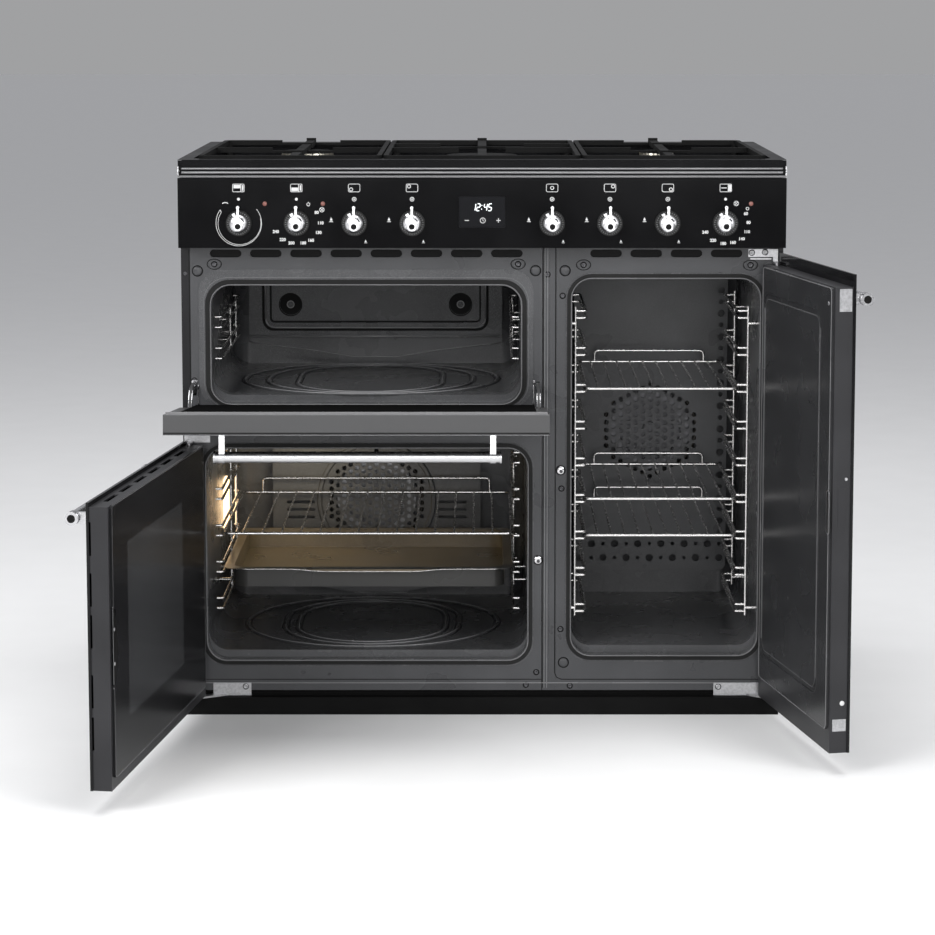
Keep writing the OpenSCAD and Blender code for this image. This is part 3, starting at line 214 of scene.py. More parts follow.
MAT = {
    # outer enamels
    "panel": enamel("panel_gloss", (0.004, 0.004, 0.0044), 0.25, 0.12, rough_vary=0.02, shine=0.1),
    "skin": enamel("door_gloss", (0.005, 0.005, 0.0056), 0.25, 0.13, rough_vary=0.02, shine=0.2),
    "side": enamel("side_enamel", (0.009, 0.009, 0.01), 0.25, 0.3, shine=0.2),
    "plinth": enamel("plinth_enamel", grey(0.006), 0.2, 0.5, shine=0.04),
    "hob": enamel("hob_enamel", (0.006, 0.006, 0.0066), 0.25, 0.34, speck=(0.02, 0.02, 0.022),
                  shine=0.03),
    "iron": enamel("cast_iron_enamel", grey(0.008), 0.3, 0.6, rough_vary=0.12, shine=0.07),
    "white_mark": enamel("white_marking", grey(0.6), 0.03, 0.5),
    # front sheets, their painted highlights and painted shadow lines
    "frame": enamel("front_enamel", (0.05, 0.051, 0.054), 0.16, 0.3, speck=(0.075, 0.075, 0.08),
                    speck_size=1200),
    # painted highlight: a lighter copy of the front enamel, laid on rolled edges, folds, rims and
    # ribs
    "edge": enamel("painted_highlight_enamel", (0.15, 0.15, 0.154), 0.12, 0.26, shine=0.4),
    # painted shade: near-black enamel laid in grooves, gaps, recesses and seats
    "groove": enamel("groove_shadow", grey(0.008), 0.2, 0.6, shine=0.1),
    # ovens and tray, with a painted highlight and a painted shadow for the pressings in the ovens
    "oven": enamel("oven_enamel", OVEN_GREY, 0.2, 0.27, speck=(0.12, 0.12, 0.125),
                   speck_size=1100),
    "cover": enamel("cover_enamel", OVEN_GREY, 0.2, 0.3, speck=(0.11, 0.11, 0.115),
                    speck_size=1100),
    # painted highlight: a lighter copy of the oven enamel, laid on crests, ridges, folds and apron
    # edges
    "painted_oven_highlight": enamel("painted_oven_highlight_enamel", (0.2, 0.2, 0.205), 0.12, 0.24, shine=0.5),
    "press_shadow": enamel("press_shadow_enamel", (0.03, 0.03, 0.031), 0.2, 0.4, shine=0.15),
    "tray": tray_enamel(),
    "tray_in": enamel("tray_brown", TRAY_BROWN, 0.25, 0.3, speck=TRAY_SPECK),
    "element": enamel("element_sheath", (0.06, 0.055, 0.05), 0.3, 0.5, metallic=0.7),
    # doors
    "door_panel": enamel("door_panel_enamel", (0.026, 0.0265, 0.028), 0.14, 0.26,
                         speck=(0.05, 0.05, 0.052), speck_size=1200, shine=0.25),
    "box": enamel("door_box_grey", (0.026, 0.026, 0.028), 0.15, 0.42, shine=0.2),
    "dropbox": enamel("drop_box_grey", (0.055, 0.055, 0.056), 0.08, 0.4, metallic=0.2),
    "door_glass": tinted_glass("inner_glass_print", (0.0145, 0.0145, 0.0155), 0.22, 0.07),
    "drop_glass": tinted_glass("drop_glass_print", grey(0.006), 0.4, 0.0),
    "window": tinted_glass("door_window", (0.04, 0.041, 0.043), 0.2, 0.08),
    # metals
    "galvanised": metal("galvanised_sheet", (0.42, 0.43, 0.44), 0.42, scale=60, vary=0.18,
                        strength=0.05),
    "chrome": metal("polished_chrome", (0.7, 0.7, 0.71), 0.12, scale=300, vary=0.03,
                    strength=0.02),
    "knob": metal("knob_chrome", (0.72, 0.72, 0.73), 0.33, scale=420, vary=0.14, strength=0.08),
    "wire": metal("plated_wire", (0.62, 0.61, 0.6), 0.24, scale=260, vary=0.1, strength=0.06),
    "zinc": metal("zinc_steel", (0.43, 0.43, 0.44), 0.38, scale=240, vary=0.14, strength=0.08),
    "dark_zinc": metal("phosphated_screw", (0.09, 0.09, 0.095), 0.38, scale=300, vary=0.2,
                       strength=0.1),
    "fan_steel": metal("fan_steel", (0.2, 0.2, 0.205), 0.4, scale=260, vary=0.15),
    "trim": metal("brushed_trim", (0.24, 0.24, 0.245), 0.36, stretch=(0.02, 1, 1), scale=900,
                  vary=0.12, strength=0.2),
    "grip": metal("brushed_grip", (0.6, 0.6, 0.61), 0.24, stretch=(0.05, 1, 1), scale=700,
                  vary=0.08, strength=0.1),
    "brass": metal("machined_brass", (0.78, 0.6, 0.32), 0.3, scale=500, vary=0.12),
    "crown": metal("burner_crown", (0.74, 0.7, 0.6), 0.34, scale=500, vary=0.14),
    # rubber, plastic, clock and lamps
    "rubber": enamel("gasket_rubber", grey(0.012), 0.3, 0.6, shine=0.15),
    "plastic": enamel("bezel_plastic", grey(0.009), 0.2, 0.4, shine=0.2),
    "pane": tinted_glass("clock_pane", (0.009, 0.0092, 0.0105), 0.08, 0.2),
    "lamp": glow("lamp_lens", (1.0, 0.72, 0.42), 3.0),
    "digit": glow("clock_digits", (0.85, 0.9, 0.92), 1.2, 0.05),
    "pilot": glow("pilot_red", (0.2, 0.075, 0.06), 0.1),
}

# material of each CAD node; the knobs and the gas spindles follow from their names
LOOK = {
    "base_frame": "plinth", "feet": "rubber", "plinth": "plinth", "side_panels": "side",
    "back_panel": "galvanised", "left_front_frame": "frame", "right_front_frame": "frame",
    "control_panel": "panel", "trim_strip": "trim", "clock_display": "pane",
    "knob_bezels": "plastic", "gas_rail": "brass", "hob_top": "hob", "burner_bodies": "crown",
    "burner_caps": "iron", "upper_cavity": "oven", "main_cavity": "oven", "tall_cavity": "oven",
    "left_racks": "wire", "tall_racks": "wire", "fan_covers": "cover", "oven_seals": "rubber",
    "hinge_brackets": "zinc", "heating_elements": "element", "oven_lamp": "lamp",
    "left_pan_stand": "iron", "centre_pan_stand": "iron", "right_pan_stand": "iron",
    "main_shelf": "wire", "roasting_tray": "tray", "tall_shelf_top": "wire",
    "tall_shelf_middle": "wire", "tall_shelf_bottom": "wire", "main_fan": "fan_steel",
    "tall_fan": "dark_zinc", "drop_door_skin": "skin", "drop_door_frame": "dropbox",
    "drop_door_glass": "drop_glass", "drop_door_handle": "grip", "main_door_skin": "skin",
    "main_door_frame": "box", "main_door_glass": "door_glass", "main_door_handle": "grip",
    "tall_door_skin": "skin", "tall_door_frame": "box", "tall_door_panel": "door_panel",
    "tall_door_handle": "grip",
}
for name, node in nodes.items():
    look = LOOK.get(name) or ("knob" if name.endswith("knob") else "brass")
    node.data.materials.clear()
    node.data.materials.append(MAT[look])

# ---------------------------------------------------------------- outlines and mesh helpers


def point(x, y, z):
    return (x * MM, y * MM, z * MM)


def box_outline(x0, x1, z0, z1):
    return [(x0, z0), (x1, z0), (x1, z1), (x0, z1)]


def round_outline(x0, x1, z0, z1, r, n=6):
    """A rectangle in X and Z with rounded corners of n steps."""
    pts = []
    corners = ((x1 - r, z1 - r), (x0 + r, z1 - r), (x0 + r, z0 + r), (x1 - r, z0 + r))
    for (cx, cz), a0 in zip(corners, (0, 90, 180, 270)):
        for k in range(n + 1):
            a = math.radians(a0 + 90 * k / n)
            pts.append((cx + r * math.cos(a), cz + r * math.sin(a)))
    return pts


def sideways(pts, closed):
    """The unit vector square to an outline, at each of its points."""
    n = len(pts)
    out = []
    for i in range(n):
        a = pts[i - 1] if closed or i > 0 else pts[i]
        b = pts[(i + 1) % n] if closed or i < n - 1 else pts[i]
        d = Vector((b[0] - a[0], b[1] - a[1])).normalized()
        out.append(Vector((-d.y, d.x)))
    return out


def loft(bm, rings, closed=False, caps=True):
    """Quads from each ring of vertices to the next, with the two ends closed or joined."""
    n = len(rings[0])
    for a, b in zip(rings, rings[1:] + (rings[:1] if closed else [])):
        for k in range(n):
            j = (k + 1) % n
            bm.faces.new((a[k], a[j], b[j], b[k]))
    if caps and not closed:
        bm.faces.new(rings[-1])
        bm.faces.new(rings[0][::-1])


def lathe(bm, x, z, profile, y, n, stretch=(1, 1)):
    """Rings about an axis to the front; profile lists radius and height in front of y."""
    turns = [2 * math.pi * k / n for k in range(n)]
    return [[bm.verts.new(point(x + r * stretch[0] * math.cos(a), y - h,
                                z + r * stretch[1] * math.sin(a))) for a in turns]
            for r, h in profile]


def soften(bm, width, segments):
    bmesh.ops.recalc_face_normals(bm, faces=bm.faces)
    bmesh.ops.bevel(bm, geom=bm.edges[:], offset=width * MM, segments=segments, affect="EDGES")


def link(me, name, mat, body, smooth=False):
    """Makes a mesh a piece of the scene that rides on a body."""
    o = bpy.data.objects.new(name, me)
    bpy.context.scene.collection.objects.link(o)
    me.materials.clear()
    me.materials.append(MAT[mat])
    if smooth:
        me.polygons.foreach_set("use_smooth", [True] * len(me.polygons))
    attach(o, body)
    return o


def piece(bm, name, mat, body="cabinet", place=None, smooth=False):
    """Finishes a mesh under construction: its normals, its place on a door and its body."""
    bmesh.ops.recalc_face_normals(bm, faces=bm.faces)
    if place is not None:
        bm.transform(place)
    me = bpy.data.meshes.new(name)
    bm.to_mesh(me)
    bm.free()
    return link(me, name, mat, body, smooth)


# ---------------------------------------------------------------- piece builders


class Marks:
    """Flat print, cut marks, painted shade and highlights, drawn in X and Z in a plane facing the
    front.
    """

    def __init__(self, y, thick=0.12):
        self.bm = bmesh.new()
        self.y = y
        self.t = thick

    def poly(self, pts):
        back = [self.bm.verts.new(point(x, self.y, z)) for x, z in pts]
        front = [self.bm.verts.new(point(x, self.y - self.t, z)) for x, z in pts]
        n = len(pts)
        self.bm.faces.new(front)
        self.bm.faces.new(back[::-1])
        for i in range(n):
            j = (i + 1) % n
            self.bm.faces.new((front[i], back[i], back[j], front[j]))

    def line(self, pts, w, closed=False):
        n = len(pts)
        left, right = [], []
        for (x, z), side in zip(pts, sideways(pts, closed)):
            k = side * w / 2
            left.append((x + k.x, z + k.y))
            right.append((x - k.x, z - k.y))
        for i in range(n if closed else n - 1):
            j = (i + 1) % n
            self.poly([left[i], left[j], right[j], right[i]])

    def arc(self, cx, cz, r, a0, a1, w, n=40, r1=None):
        """An arc between two angles; with r1 its radius changes on the way."""
        r1 = r if r1 is None else r1
        pts = []
        for i in range(n + 1):
            t = i / n
            a = math.radians(a0 + (a1 - a0) * t)
            rr = r + (r1 - r) * t
            pts.append((cx + rr * math.cos(a), cz + rr * math.sin(a)))
        self.line(pts, w)

    def disc(self, cx, cz, r, n=24):
        turns = [2 * math.pi * i / n for i in range(n)]
        self.poly([(cx + r * math.cos(a), cz + r * math.sin(a)) for a in turns])

    def rect(self, cx, cz, w, h):
        self.poly(box_outline(cx - w / 2, cx + w / 2, cz - h / 2, cz + h / 2))

    def round_rect(self, cx, cz, w, h, r, line):
        outline = round_outline(cx - w / 2, cx + w / 2, cz - h / 2, cz + h / 2, r, 5)
        self.line(outline, line, closed=True)

    def text(self, word, cx, cz, size):
        cu = bpy.data.curves.new("figure", "FONT")
        cu.body = word
        cu.size = size * MM
        cu.align_x = "CENTER"
        cu.align_y = "CENTER"
        cu.offset = 0.045 * size * MM
        cu.extrude = self.t * MM / 2
        cu.resolution_u = 3
        o = bpy.data.objects.new("figure", cu)
        me = bpy.data.meshes.new_from_object(o)
        middle = Matrix.Translation(point(cx, self.y - self.t / 2, cz))
        me.transform(middle @ Matrix.Rotation(math.pi / 2, 4, "X"))
        self.bm.from_mesh(me)
        bpy.data.objects.remove(o)
        bpy.data.curves.remove(cu)
        bpy.data.meshes.remove(me)

    def done(self, name, mat, body="cabinet"):
        me = bpy.data.meshes.new(name)
        self.bm.to_mesh(me)
        self.bm.free()
        return link(me, name, mat, body)


def turned(name, spots, profile, y, mat, body="cabinet", stretch=(1, 1), n=32, place=None):
    """Round or oval fittings on the front; profile lists radius and height."""
    bm = bmesh.new()
    for x, z in spots:
        loft(bm, lathe(bm, x, z, profile, y, n, stretch))
    return piece(bm, name, mat, body, place, smooth=True)


def screw(name, spots, r, y, mat="zinc", body="cabinet", place=None):
    """Pan-head screws with a cross recess, in one mesh: domed head, axis to the front."""
    dome = [(r, 0.0), (r, 0.35), (r * 0.86, 0.85), (r * 0.55, 1.15), (r * 0.5, 0.75),
            (0.001, 0.75)]
    recess_y = y - 0.78
    w, l = r * 0.1, r * 0.46
    bm = bmesh.new()
    for x, z in spots:
        loft(bm, lathe(bm, x, z, dome, y, 20), caps=False)
        for angle in (0.4, 0.4 + math.pi / 2):
            c, s = math.cos(angle), math.sin(angle)
            bm.faces.new([bm.verts.new(point(x + u * c - v * s, recess_y, z + u * s + v * c))
                          for u, v in box_outline(-l, l, -w, w)])
    if place is not None:
        bm.transform(place)
    return piece(bm, name, mat, body, smooth=True)


def solid_profile(name, pts, y0, y1, mat, body="cabinet", place=None, bevel=0.4):
    """An extruded outline in X and Z between two Y values, with softened edges."""
    bm = bmesh.new()
    a = [bm.verts.new(point(x, y0, z)) for x, z in pts]
    b = [bm.verts.new(point(x, y1, z)) for x, z in pts]
    bm.faces.new(a)
    bm.faces.new(b[::-1])
    n = len(pts)
    for i in range(n):
        j = (i + 1) % n
        bm.faces.new((a[i], b[i], b[j], a[j]))
    if bevel:
        soften(bm, bevel, 2)
    return piece(bm, name, mat, body, place)


def plate(name, x, y, z, mat, body="cabinet", place=None, bevel=0.4):
    """A thin softened plate between ranges of X, Y and Z."""
    return solid_profile(name, box_outline(*x, *z), *y, mat, body, place, bevel)


def frame_ring(name, outer, inner, y0, y1, mat, body, place):
    """A flat frame between two outlines with equal point counts."""
    bm = bmesh.new()
    o0, i0, o1, i1 = [[bm.verts.new(point(x, y, z)) for x, z in outline]
                      for y in (y0, y1) for outline in (outer, inner)]
    n = len(outer)
    for k in range(n):
        j = (k + 1) % n
        bm.faces.new((o0[k], o0[j], i0[j], i0[k]))
        bm.faces.new((o1[j], o1[k], i1[k], i1[j]))
        bm.faces.new((o0[j], o0[k], o1[k], o1[j]))
        bm.faces.new((i0[k], i0[j], i1[j], i1[k]))
    return piece(bm, name, mat, body, place)


def bead(name, pts, y, r, mat, body="cabinet", closed=True, place=None):
    """A thin round bead that follows an outline in X and Z."""
    turns = [2 * math.pi * j / 8 for j in range(8)]
    bm = bmesh.new()
    rings = [[bm.verts.new(point(x + k.x * r * math.cos(t), y - r * math.sin(t),
                                 z + k.y * r * math.cos(t))) for t in turns]
             for (x, z), k in zip(pts, sideways(pts, closed))]
    loft(bm, rings, closed)
    return piece(bm, name, mat, body, place, smooth=True)


def arc_plate(name, x, r, a0, a1, centre, mat, body, n=14):
    """A plate between two X values, curved about an axis along X."""
    bm = bmesh.new()
    sections = []
    for k in range(n + 1):
        a = math.radians(a0 + (a1 - a0) * k / n)
        c, d = math.cos(a), math.sin(a)
        sections.append([bm.verts.new(point(u, centre[0] + q * c, centre[1] + q * d))
                         for u, q in box_outline(*x, *r)])
    loft(bm, sections)
    soften(bm, 0.25, 1)
    return piece(bm, name, mat, body)


# ---------------------------------------------------------------- control panel markings

KNOBS = ("upper_oven", "main_oven", "front_left", "back_left", "centre", "back_right",
         "front_right", "tall_oven")
KNOB_X = [-400, -305, -210, -115, 115, 210, 305, 400]
KNOB_Z = 834.0
SIGN_Z = 892        # signs above the knobs
ZERO_Z = 873.5      # off marks between sign and knob
PILOT_Z = 866
FIGURE_SIZE = 6.8
OVEN_KNOBS = (0, 1, 7)
BURNER_AT = {2: (-5, -2.5), 3: (-5, 2.5), 4: (0, 0), 5: (5, 2.5), 6: (5, -2.5)}

marks = Marks(PANEL_Y)


def flame(cx, cz, w, h):
    """A drop shape with a bar under it."""
    drop = [(-0.28, -0.22), (-0.33, -0.05), (-0.15, 0.2), (-0.05, 0.5), (0.12, 0.22),
            (0.33, -0.02), (0.28, -0.22)]
    marks.poly([(cx + w * u, cz + h * v) for u, v in drop])
    marks.rect(cx, cz - h * 0.42, w, h * 0.14)


def on_dial(cx, angle, r):
    a = math.radians(angle)
    return cx + r * math.cos(a), KNOB_Z + r * math.sin(a)


def fan_mark(px, pz):
    """A fan's sign: a ring with four blades."""
    marks.arc(px, pz, 3.7, 0, 360, 0.9, 20)
    for k in range(4):
        a = math.radians(45 + 90 * k)
        marks.line([(px, pz), (px + 3.4 * math.cos(a), pz + 3.4 * math.sin(a))], 1.1)


def figures(x, words):
    for word, dx, dz in words:
        marks.text(word, x + dx, KNOB_Z + dz, FIGURE_SIZE)


# an oven's sign shows which oven it is; a burner's sign shows its place on the hob, with a
# large and a small flame at the two ends of the knob's turn
for i, x in enumerate(KNOB_X):
    if i in OVEN_KNOBS:
        marks.round_rect(x, SIGN_Z, 18.8, 12.6, 1.6, 0.9)
        marks.rect(x + 4, SIGN_Z, 1.2, 12)
        if i < 2:
            marks.rect(x - 2.5, SIGN_Z + (2.2 if i == 0 else -2.2), 11, 5.6)
            marks.rect(x + 7, SIGN_Z, 2.2, 9)
        else:
            marks.rect(x + 6.6, SIGN_Z, 4.6, 10.5)
            marks.rect(x - 3, SIGN_Z, 9, 1.3)
        marks.disc(x, ZERO_Z, 2.4)
    else:
        marks.round_rect(x, SIGN_Z, 19, 12.8, 2.4, 0.9)
        dx, dz = BURNER_AT[i]
        marks.arc(x + dx, SIGN_Z + dz, 2.6, 0, 360, 1.2, 20)
        marks.arc(x, ZERO_Z, 3.1, 0, 360, 1.1, 24)
        marks.disc(x, ZERO_Z, 1.3)
        flame(x - 38, 840, 6, 8.3)
        flame(x + 18.5, 804, 4.6, 5.8)

# the upper oven's dial: a wedge that widens round the knob, and a short arc above it
x = KNOB_X[0]
marks.arc(x, KNOB_Z, 37.4, 144, 398, 0.75, 90)
marks.arc(x, KNOB_Z, 33.6, 148, 372, 0.65, 90, 36.6)
marks.line([on_dial(x, 144, 37.4), on_dial(x, 148, 33.6)], 0.9)
marks.arc(x - 22, 860.5, 7.5, 50, 130, 1.2, 12)

# the main oven's dial
x = KNOB_X[1]
figures(x, (("80", 33.1, 17.5), ("110", 39.3, 0.2), ("130", 35.9, -15.6), ("160", 23.3, -28.4),
            ("180", 10.4, -32.8), ("200", -8.7, -32.8), ("220", -23, -27.2), ("240", -34.1, -14)))
fan_mark(x + 41.8, KNOB_Z + 22.2)
marks.arc(x + 19.6, KNOB_Z + 31, 2.5, 0, 360, 1.0, 16)
marks.rect(x + 19.6, KNOB_Z + 34.2, 0.9, 2)

# the tall oven's dial
x = KNOB_X[7]
figures(x, (("60", 33.5, 15.5), ("80", 38, 1), ("110", 35.6, -14.2), ("140", 27, -26),
            ("160", 12.5, -32), ("180", -3.5, -33.6), ("220", -20, -28.5), ("240", -33, -15)))
fan_mark(x + 17.5, KNOB_Z + 32.5)
marks.arc(x + 36, KNOB_Z + 24, 2.3, 0, 360, 1.0, 16)
marks.done("panel_markings", "white_mark")

# clock figures on the pane, seven-segment and slanted, and three touch marks below
SEGMENTS = {"a": ((0, 1), (1, 1)), "b": ((1, 1), (1, 0.5)), "c": ((1, 0.5), (1, 0)),
            "d": ((0, 0), (1, 0)), "e": ((0, 0.5), (0, 0)), "f": ((0, 1), (0, 0.5)),
            "g": ((0, 0.5), (1, 0.5))}
DIGITS = {"1": "bc", "2": "abged", "4": "fgbc", "5": "afgcd"}
DIGIT_W, DIGIT_H, DIGIT_Z = 4.8, 11.5, 854.5
DIGIT_SLANT = 0.14
SEGMENT_SHARE = 0.84   # the rest is the gap between segments
TOUCH_Z = 838.5
PANE_Y = PANEL_Y + 0.2
clock = Marks(PANE_Y)


def digit(figure, x0):
    for key in DIGITS[figure]:
        ends = [Vector(p) for p in SEGMENTS[key]]
        mid = (ends[0] + ends[1]) / 2
        ends = [mid + (p - mid) * SEGMENT_SHARE for p in ends]
        clock.line([(x0 + p.x * DIGIT_W + p.y * DIGIT_H * DIGIT_SLANT, DIGIT_Z + p.y * DIGIT_H)
                    for p in ends], 1.25)


for figure, x0 in (("1", -16.5), ("2", -9.2), ("4", 2.6), ("5", 9.9)):
    digit(figure, x0)
clock.disc(-0.3, 863.3, 0.8, 10)
clock.disc(-0.8, 857.3, 0.8, 10)
clock.done("clock_figures", "digit")
touch = Marks(PANE_Y)
touch.rect(-25, TOUCH_Z, 7, 1.2)
touch.rect(27, TOUCH_Z, 7, 1.2)
touch.rect(27, TOUCH_Z, 1.2, 7)
touch.arc(1.2, TOUCH_Z, 4.2, 0, 360, 1.0, 24)
touch.line([(1.2, 841.2), (1.2, 838.3), (3.2, 837.4)], 0.9)
touch.done("touch_marks", "white_mark")

# red pilot lamps in their sockets
for i, dx in ((0, 43), (1, 43.5), (7, 41.7)):
    turned("pilot_lamp_%d" % i, [(KNOB_X[i] + dx, PILOT_Z)],
           [(3.7, 0), (3.6, 0.5), (2.4, 1.0), (0.8, 1.2)], PANEL_Y - 1, "pilot", n=20)

# dark centre of each knob's hub and a dark dot, in the painted shade material, and a notch beside
# its lever
for name, x in zip(KNOBS, KNOB_X):
    knob, body = name + "_knob", "knob_" + name
    knob_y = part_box(knob)[0][1] / MM
    m = Marks(knob_y + 1.5, 0.15)
    m.disc(x, KNOB_Z - 4, 4.7, 28)
    m.done(knob + "_centre", "groove", body)
    m = Marks(knob_y + 6.3, 0.3)
    m.arc(x, KNOB_Z, 10.4, 22, 60, 2.4, 10)
    m.done(knob + "_notch", "dark_zinc", body)
    m = Marks(knob_y + 2.9, 0.12)
    m.disc(x, KNOB_Z + 27, 0.8, 12)
    m.done(knob + "_dot", "groove", body)
# painted highlights on the fine ribs of the ring behind each knob
ribs = Marks(-305.5, 0.2)
for x in KNOB_X:
    for k in range(30):
        angle = 12 * k + 6
        ribs.line([on_dial(x, angle, 16.0), on_dial(x, angle, 19.0)], 0.9)
ribs.done("bezel_rib_highlights", "edge")

# ---------------------------------------------------------------- small fittings on the front

# where they are, in X and Z
BUFFERS = [(-472.752, 751.424), (88.872, 751.928), (137.928, 751.928), (137.256, 87.656)]
DIMPLES = [(-444.696, 762.68), (59.808, 762.848), (168.504, 761.504), (445.872, 761.168)]
SIDE_SCREW = [(-493.248, 747.056)]
FRONT_SCREWS = [(-479.976, 567.8), (108.696, 745.544), (133.896, 709.928), (133.056, 385.184),
                (132.216, 144.944), (148.176, 47.504), (91.392, 70.856), (73.92, 49.016)]
CATCHES = [(131.712, 416.264), (93.912, 263.552)]
BRACKET_SCREWS = [(-399.168, 46.664), (399.0, 46.16), (447.72, 782.0), (469.56, 782.84)]
OVAL = (1, 0.72)

# door buffers and the oval dimples with a screw in each, with rings of painted shade round the
# buffers, the dimples and their screws
turned("buffer_shade_rings", BUFFERS, [(9.4, 0), (9.4, 0.3), (7.2, 0.4), (0.5, 0.4)], FACE_Y, "groove")
turned("buffers", BUFFERS,
       [(7.6, 0.2), (7.6, 1.4), (6.9, 2.1), (5.0, 2.5), (2.5, 2.7), (0.4, 2.75)], FACE_Y, "frame")
turned("dimple_shadows", DIMPLES, [(12.6, 0), (12.6, 0.2), (11.4, 0.3), (0.5, 0.3)], FACE_Y,
       "groove", stretch=OVAL)
turned("dimples", DIMPLES, [(11.3, 0.2), (11.0, 0.8), (9.4, 1.0), (6.4, 0.7), (0.5, 0.65)],
       FACE_Y, "frame", stretch=OVAL)
turned("dimple_screw_shade_rings", DIMPLES, [(5.3, 0.6), (5.3, 0.85), (0.4, 0.85)], FACE_Y, "groove")
screw("dimple_screws", DIMPLES, 3.9, FACE_Y - 0.85, "dark_zinc")
# rings of painted shade round the front screws
turned("screw_shade_rings", FRONT_SCREWS, [(5.2, 0), (5.2, 0.15), (0.4, 0.15)], FACE_Y, "groove")
screw("front_screws", FRONT_SCREWS, 3.7, FACE_Y - 0.12, "dark_zinc")
screw("side_screw", SIDE_SCREW, 3.2, FACE_Y, "dark_zinc")
# rings of painted shade round the catches
turned("catch_shade_rings", CATCHES, [(8.4, 0), (8.4, 0.3), (0.4, 0.3)], FACE_Y, "groove")
turned("catches", CATCHES,
       [(7.0, 0.2), (7.0, 1.0), (6.2, 1.8), (4.4, 2.4), (2.2, 2.7), (0.4, 2.8)], FACE_Y, "chrome")
turned("catch_centres", [(x + 0.6, z - 1.6) for x, z in CATCHES],
       [(2.9, 2.4), (2.9, 2.85), (0.4, 2.9)], FACE_Y, "dark_zinc", n=16)
turned("bracket_screw_seats", BRACKET_SCREWS, [(5.3, 0), (5.3, 0.2), (0.4, 0.2)], BRACKET_Y,
       "dark_zinc")
screw("bracket_screws", BRACKET_SCREWS, 4.2, BRACKET_Y - 0.15, "zinc")

# ---------------------------------------------------------------- side doors


def door_place(pivot, axis, degrees):
    """Takes closed-door coordinates to the open rest pose."""
    p = Vector(pivot) * MM
    turn = Matrix.Rotation(math.radians(degrees), 4, axis)
    return Matrix.Translation(p) @ turn @ Matrix.Translation(-p)


DROP_HINGE = (-289, 505.5)   # Y and Z of the drop door's axis
MAIN = door_place((-487, -288, 0), "Z", -97.9)
TALL = door_place((487, -288, 0), "Z", 101.2)
DROP = door_place((0, *DROP_HINGE), "X", 84.4)
FACE_LEFT = Matrix.Rotation(-math.pi / 2, 4, "Z")
FACE_BACK = Matrix.Rotation(math.pi, 4, "Z")
TALL_EDGE_X = 114            # free edge of the tall door's frame
EDGE_PLATE_X = (113.1, 114.05)

# main door: clear window in the printed inner glass, and a bulged latch lens near the edge, drawn
# dark in the painted shade material
solid_profile("main_window_pane", round_outline(-331, 11, 128, 395, 2.5), INNER_Y,
              INNER_Y + 0.12, "window", "main_door", MAIN, 0)
lens = [(96.5 - 24 * math.sin(math.pi * k / 16) ** 0.8, 189 + 123 * k / 16) for k in range(17)]
solid_profile("main_latch_lens", lens, INNER_Y, INNER_Y + 0.2, "groove", "main_door", MAIN, 0)
screw("main_latch_screws", [(-92.8, 226), (-92.8, 278)], 2.7, -INNER_Y - 0.1, "zinc",
      "main_door", MAIN @ FACE_BACK)

# tall door: fittings on the free edge and the strike slot in the inner panel
plate("tall_edge_plate_top", EDGE_PLATE_X, (-294, -274), (726, 761), "zinc", "tall_door", TALL,
      0.3)
plate("tall_edge_plate_bottom", EDGE_PLATE_X, (-294, -272), (70, 89), "zinc", "tall_door", TALL,
      0.3)
plate("tall_latch_cover", (113.5, 114.05), (-288, -276), (392, 452), "box", "tall_door", TALL,
      0.2)
screw("tall_edge_screw", [(288.8, 466.7)], 2.6, TALL_EDGE_X, "zinc", "tall_door",
      TALL @ FACE_LEFT)
turned("tall_edge_plug", [(287.5, 114.2)], [(3.9, 0), (3.9, 0.5), (3.2, 1.0), (0.4, 1.2)],
       TALL_EDGE_X, "white_mark", "tall_door", place=TALL @ FACE_LEFT)
screw("tall_panel_screw", [(-135, 737)], 3.2, -INNER_Y, "zinc", "tall_door", TALL @ FACE_BACK)
slot_out = round_outline(116.5, 133, 379, 449, 7)
slot_in = round_outline(118.5, 131, 381, 447, 6)
frame_ring("tall_strike_rim", slot_out, slot_in, INNER_Y, INNER_Y + 0.25, "zinc", "tall_door",
           TALL)
solid_profile("tall_strike_slot", slot_in, INNER_Y, INNER_Y + 0.1, "rubber", "tall_door", TALL, 0)

# ---------------------------------------------------------------- beads, trim and edges

# painted highlights on the rolled edge of each mouth and on the line outside it: outline,
# then the line's distance to the sides, below and above
MOUTHS = {"upper": ((-450.5, 64.5, 529, 727), 12.5, 6, 13.5),
          "main": ((-462, 76, 93, 453), 7, 7, 7),
          "tall": ((150, 462, 101, 738), 7, 7, 7)}
for name, ((x0, x1, z0, z1), side, below, above) in MOUTHS.items():
    edge = round_outline(x0 - 1.5, x1 + 1.5, z0 - 1.5, z1 + 1.5, 34, 10)
    bead(name + "_mouth_edge_highlight", edge, -261.4, 1.1, "edge")
    line = round_outline(x0 - side, x1 + side, z0 - below, z1 + above, 40, 10)
    bead(name + "_mouth_line_highlight", line, FACE_Y, 1.3, "edge")

# pressed cover on the upper oven's back wall: painted shade in its groove, pocket and dimples,
# and painted highlights on its ridge, dimple rings, lower fold and apron edge
COVER_Y = 163
POCKET_Y = COVER_Y + 5.9
DIMPLE_Y = COVER_Y + 14.9
DIMPLE_Z = 649.8
DIMPLE_X = (LEFT_X - 154, LEFT_X + 154)
groove = [(LEFT_X - 202.5, 722), (LEFT_X - 202.5, 621)]
for k in range(7):
    a = math.radians(180 + 15 * k)
    groove.append((LEFT_X - 184.5 + 18 * math.cos(a), 623 + 18 * math.sin(a)))
groove += [(2 * LEFT_X - x, z) for x, z in reversed(groove)]
press = Marks(COVER_Y, 0.1)
press.line(groove, 4.6)
press.done("cover_groove_shadow", "groove")
press = Marks(POCKET_Y, 0.1)
press.line(round_outline(LEFT_X - 189.5, LEFT_X + 189.5, 619, 701.7, 7), 3, closed=True)
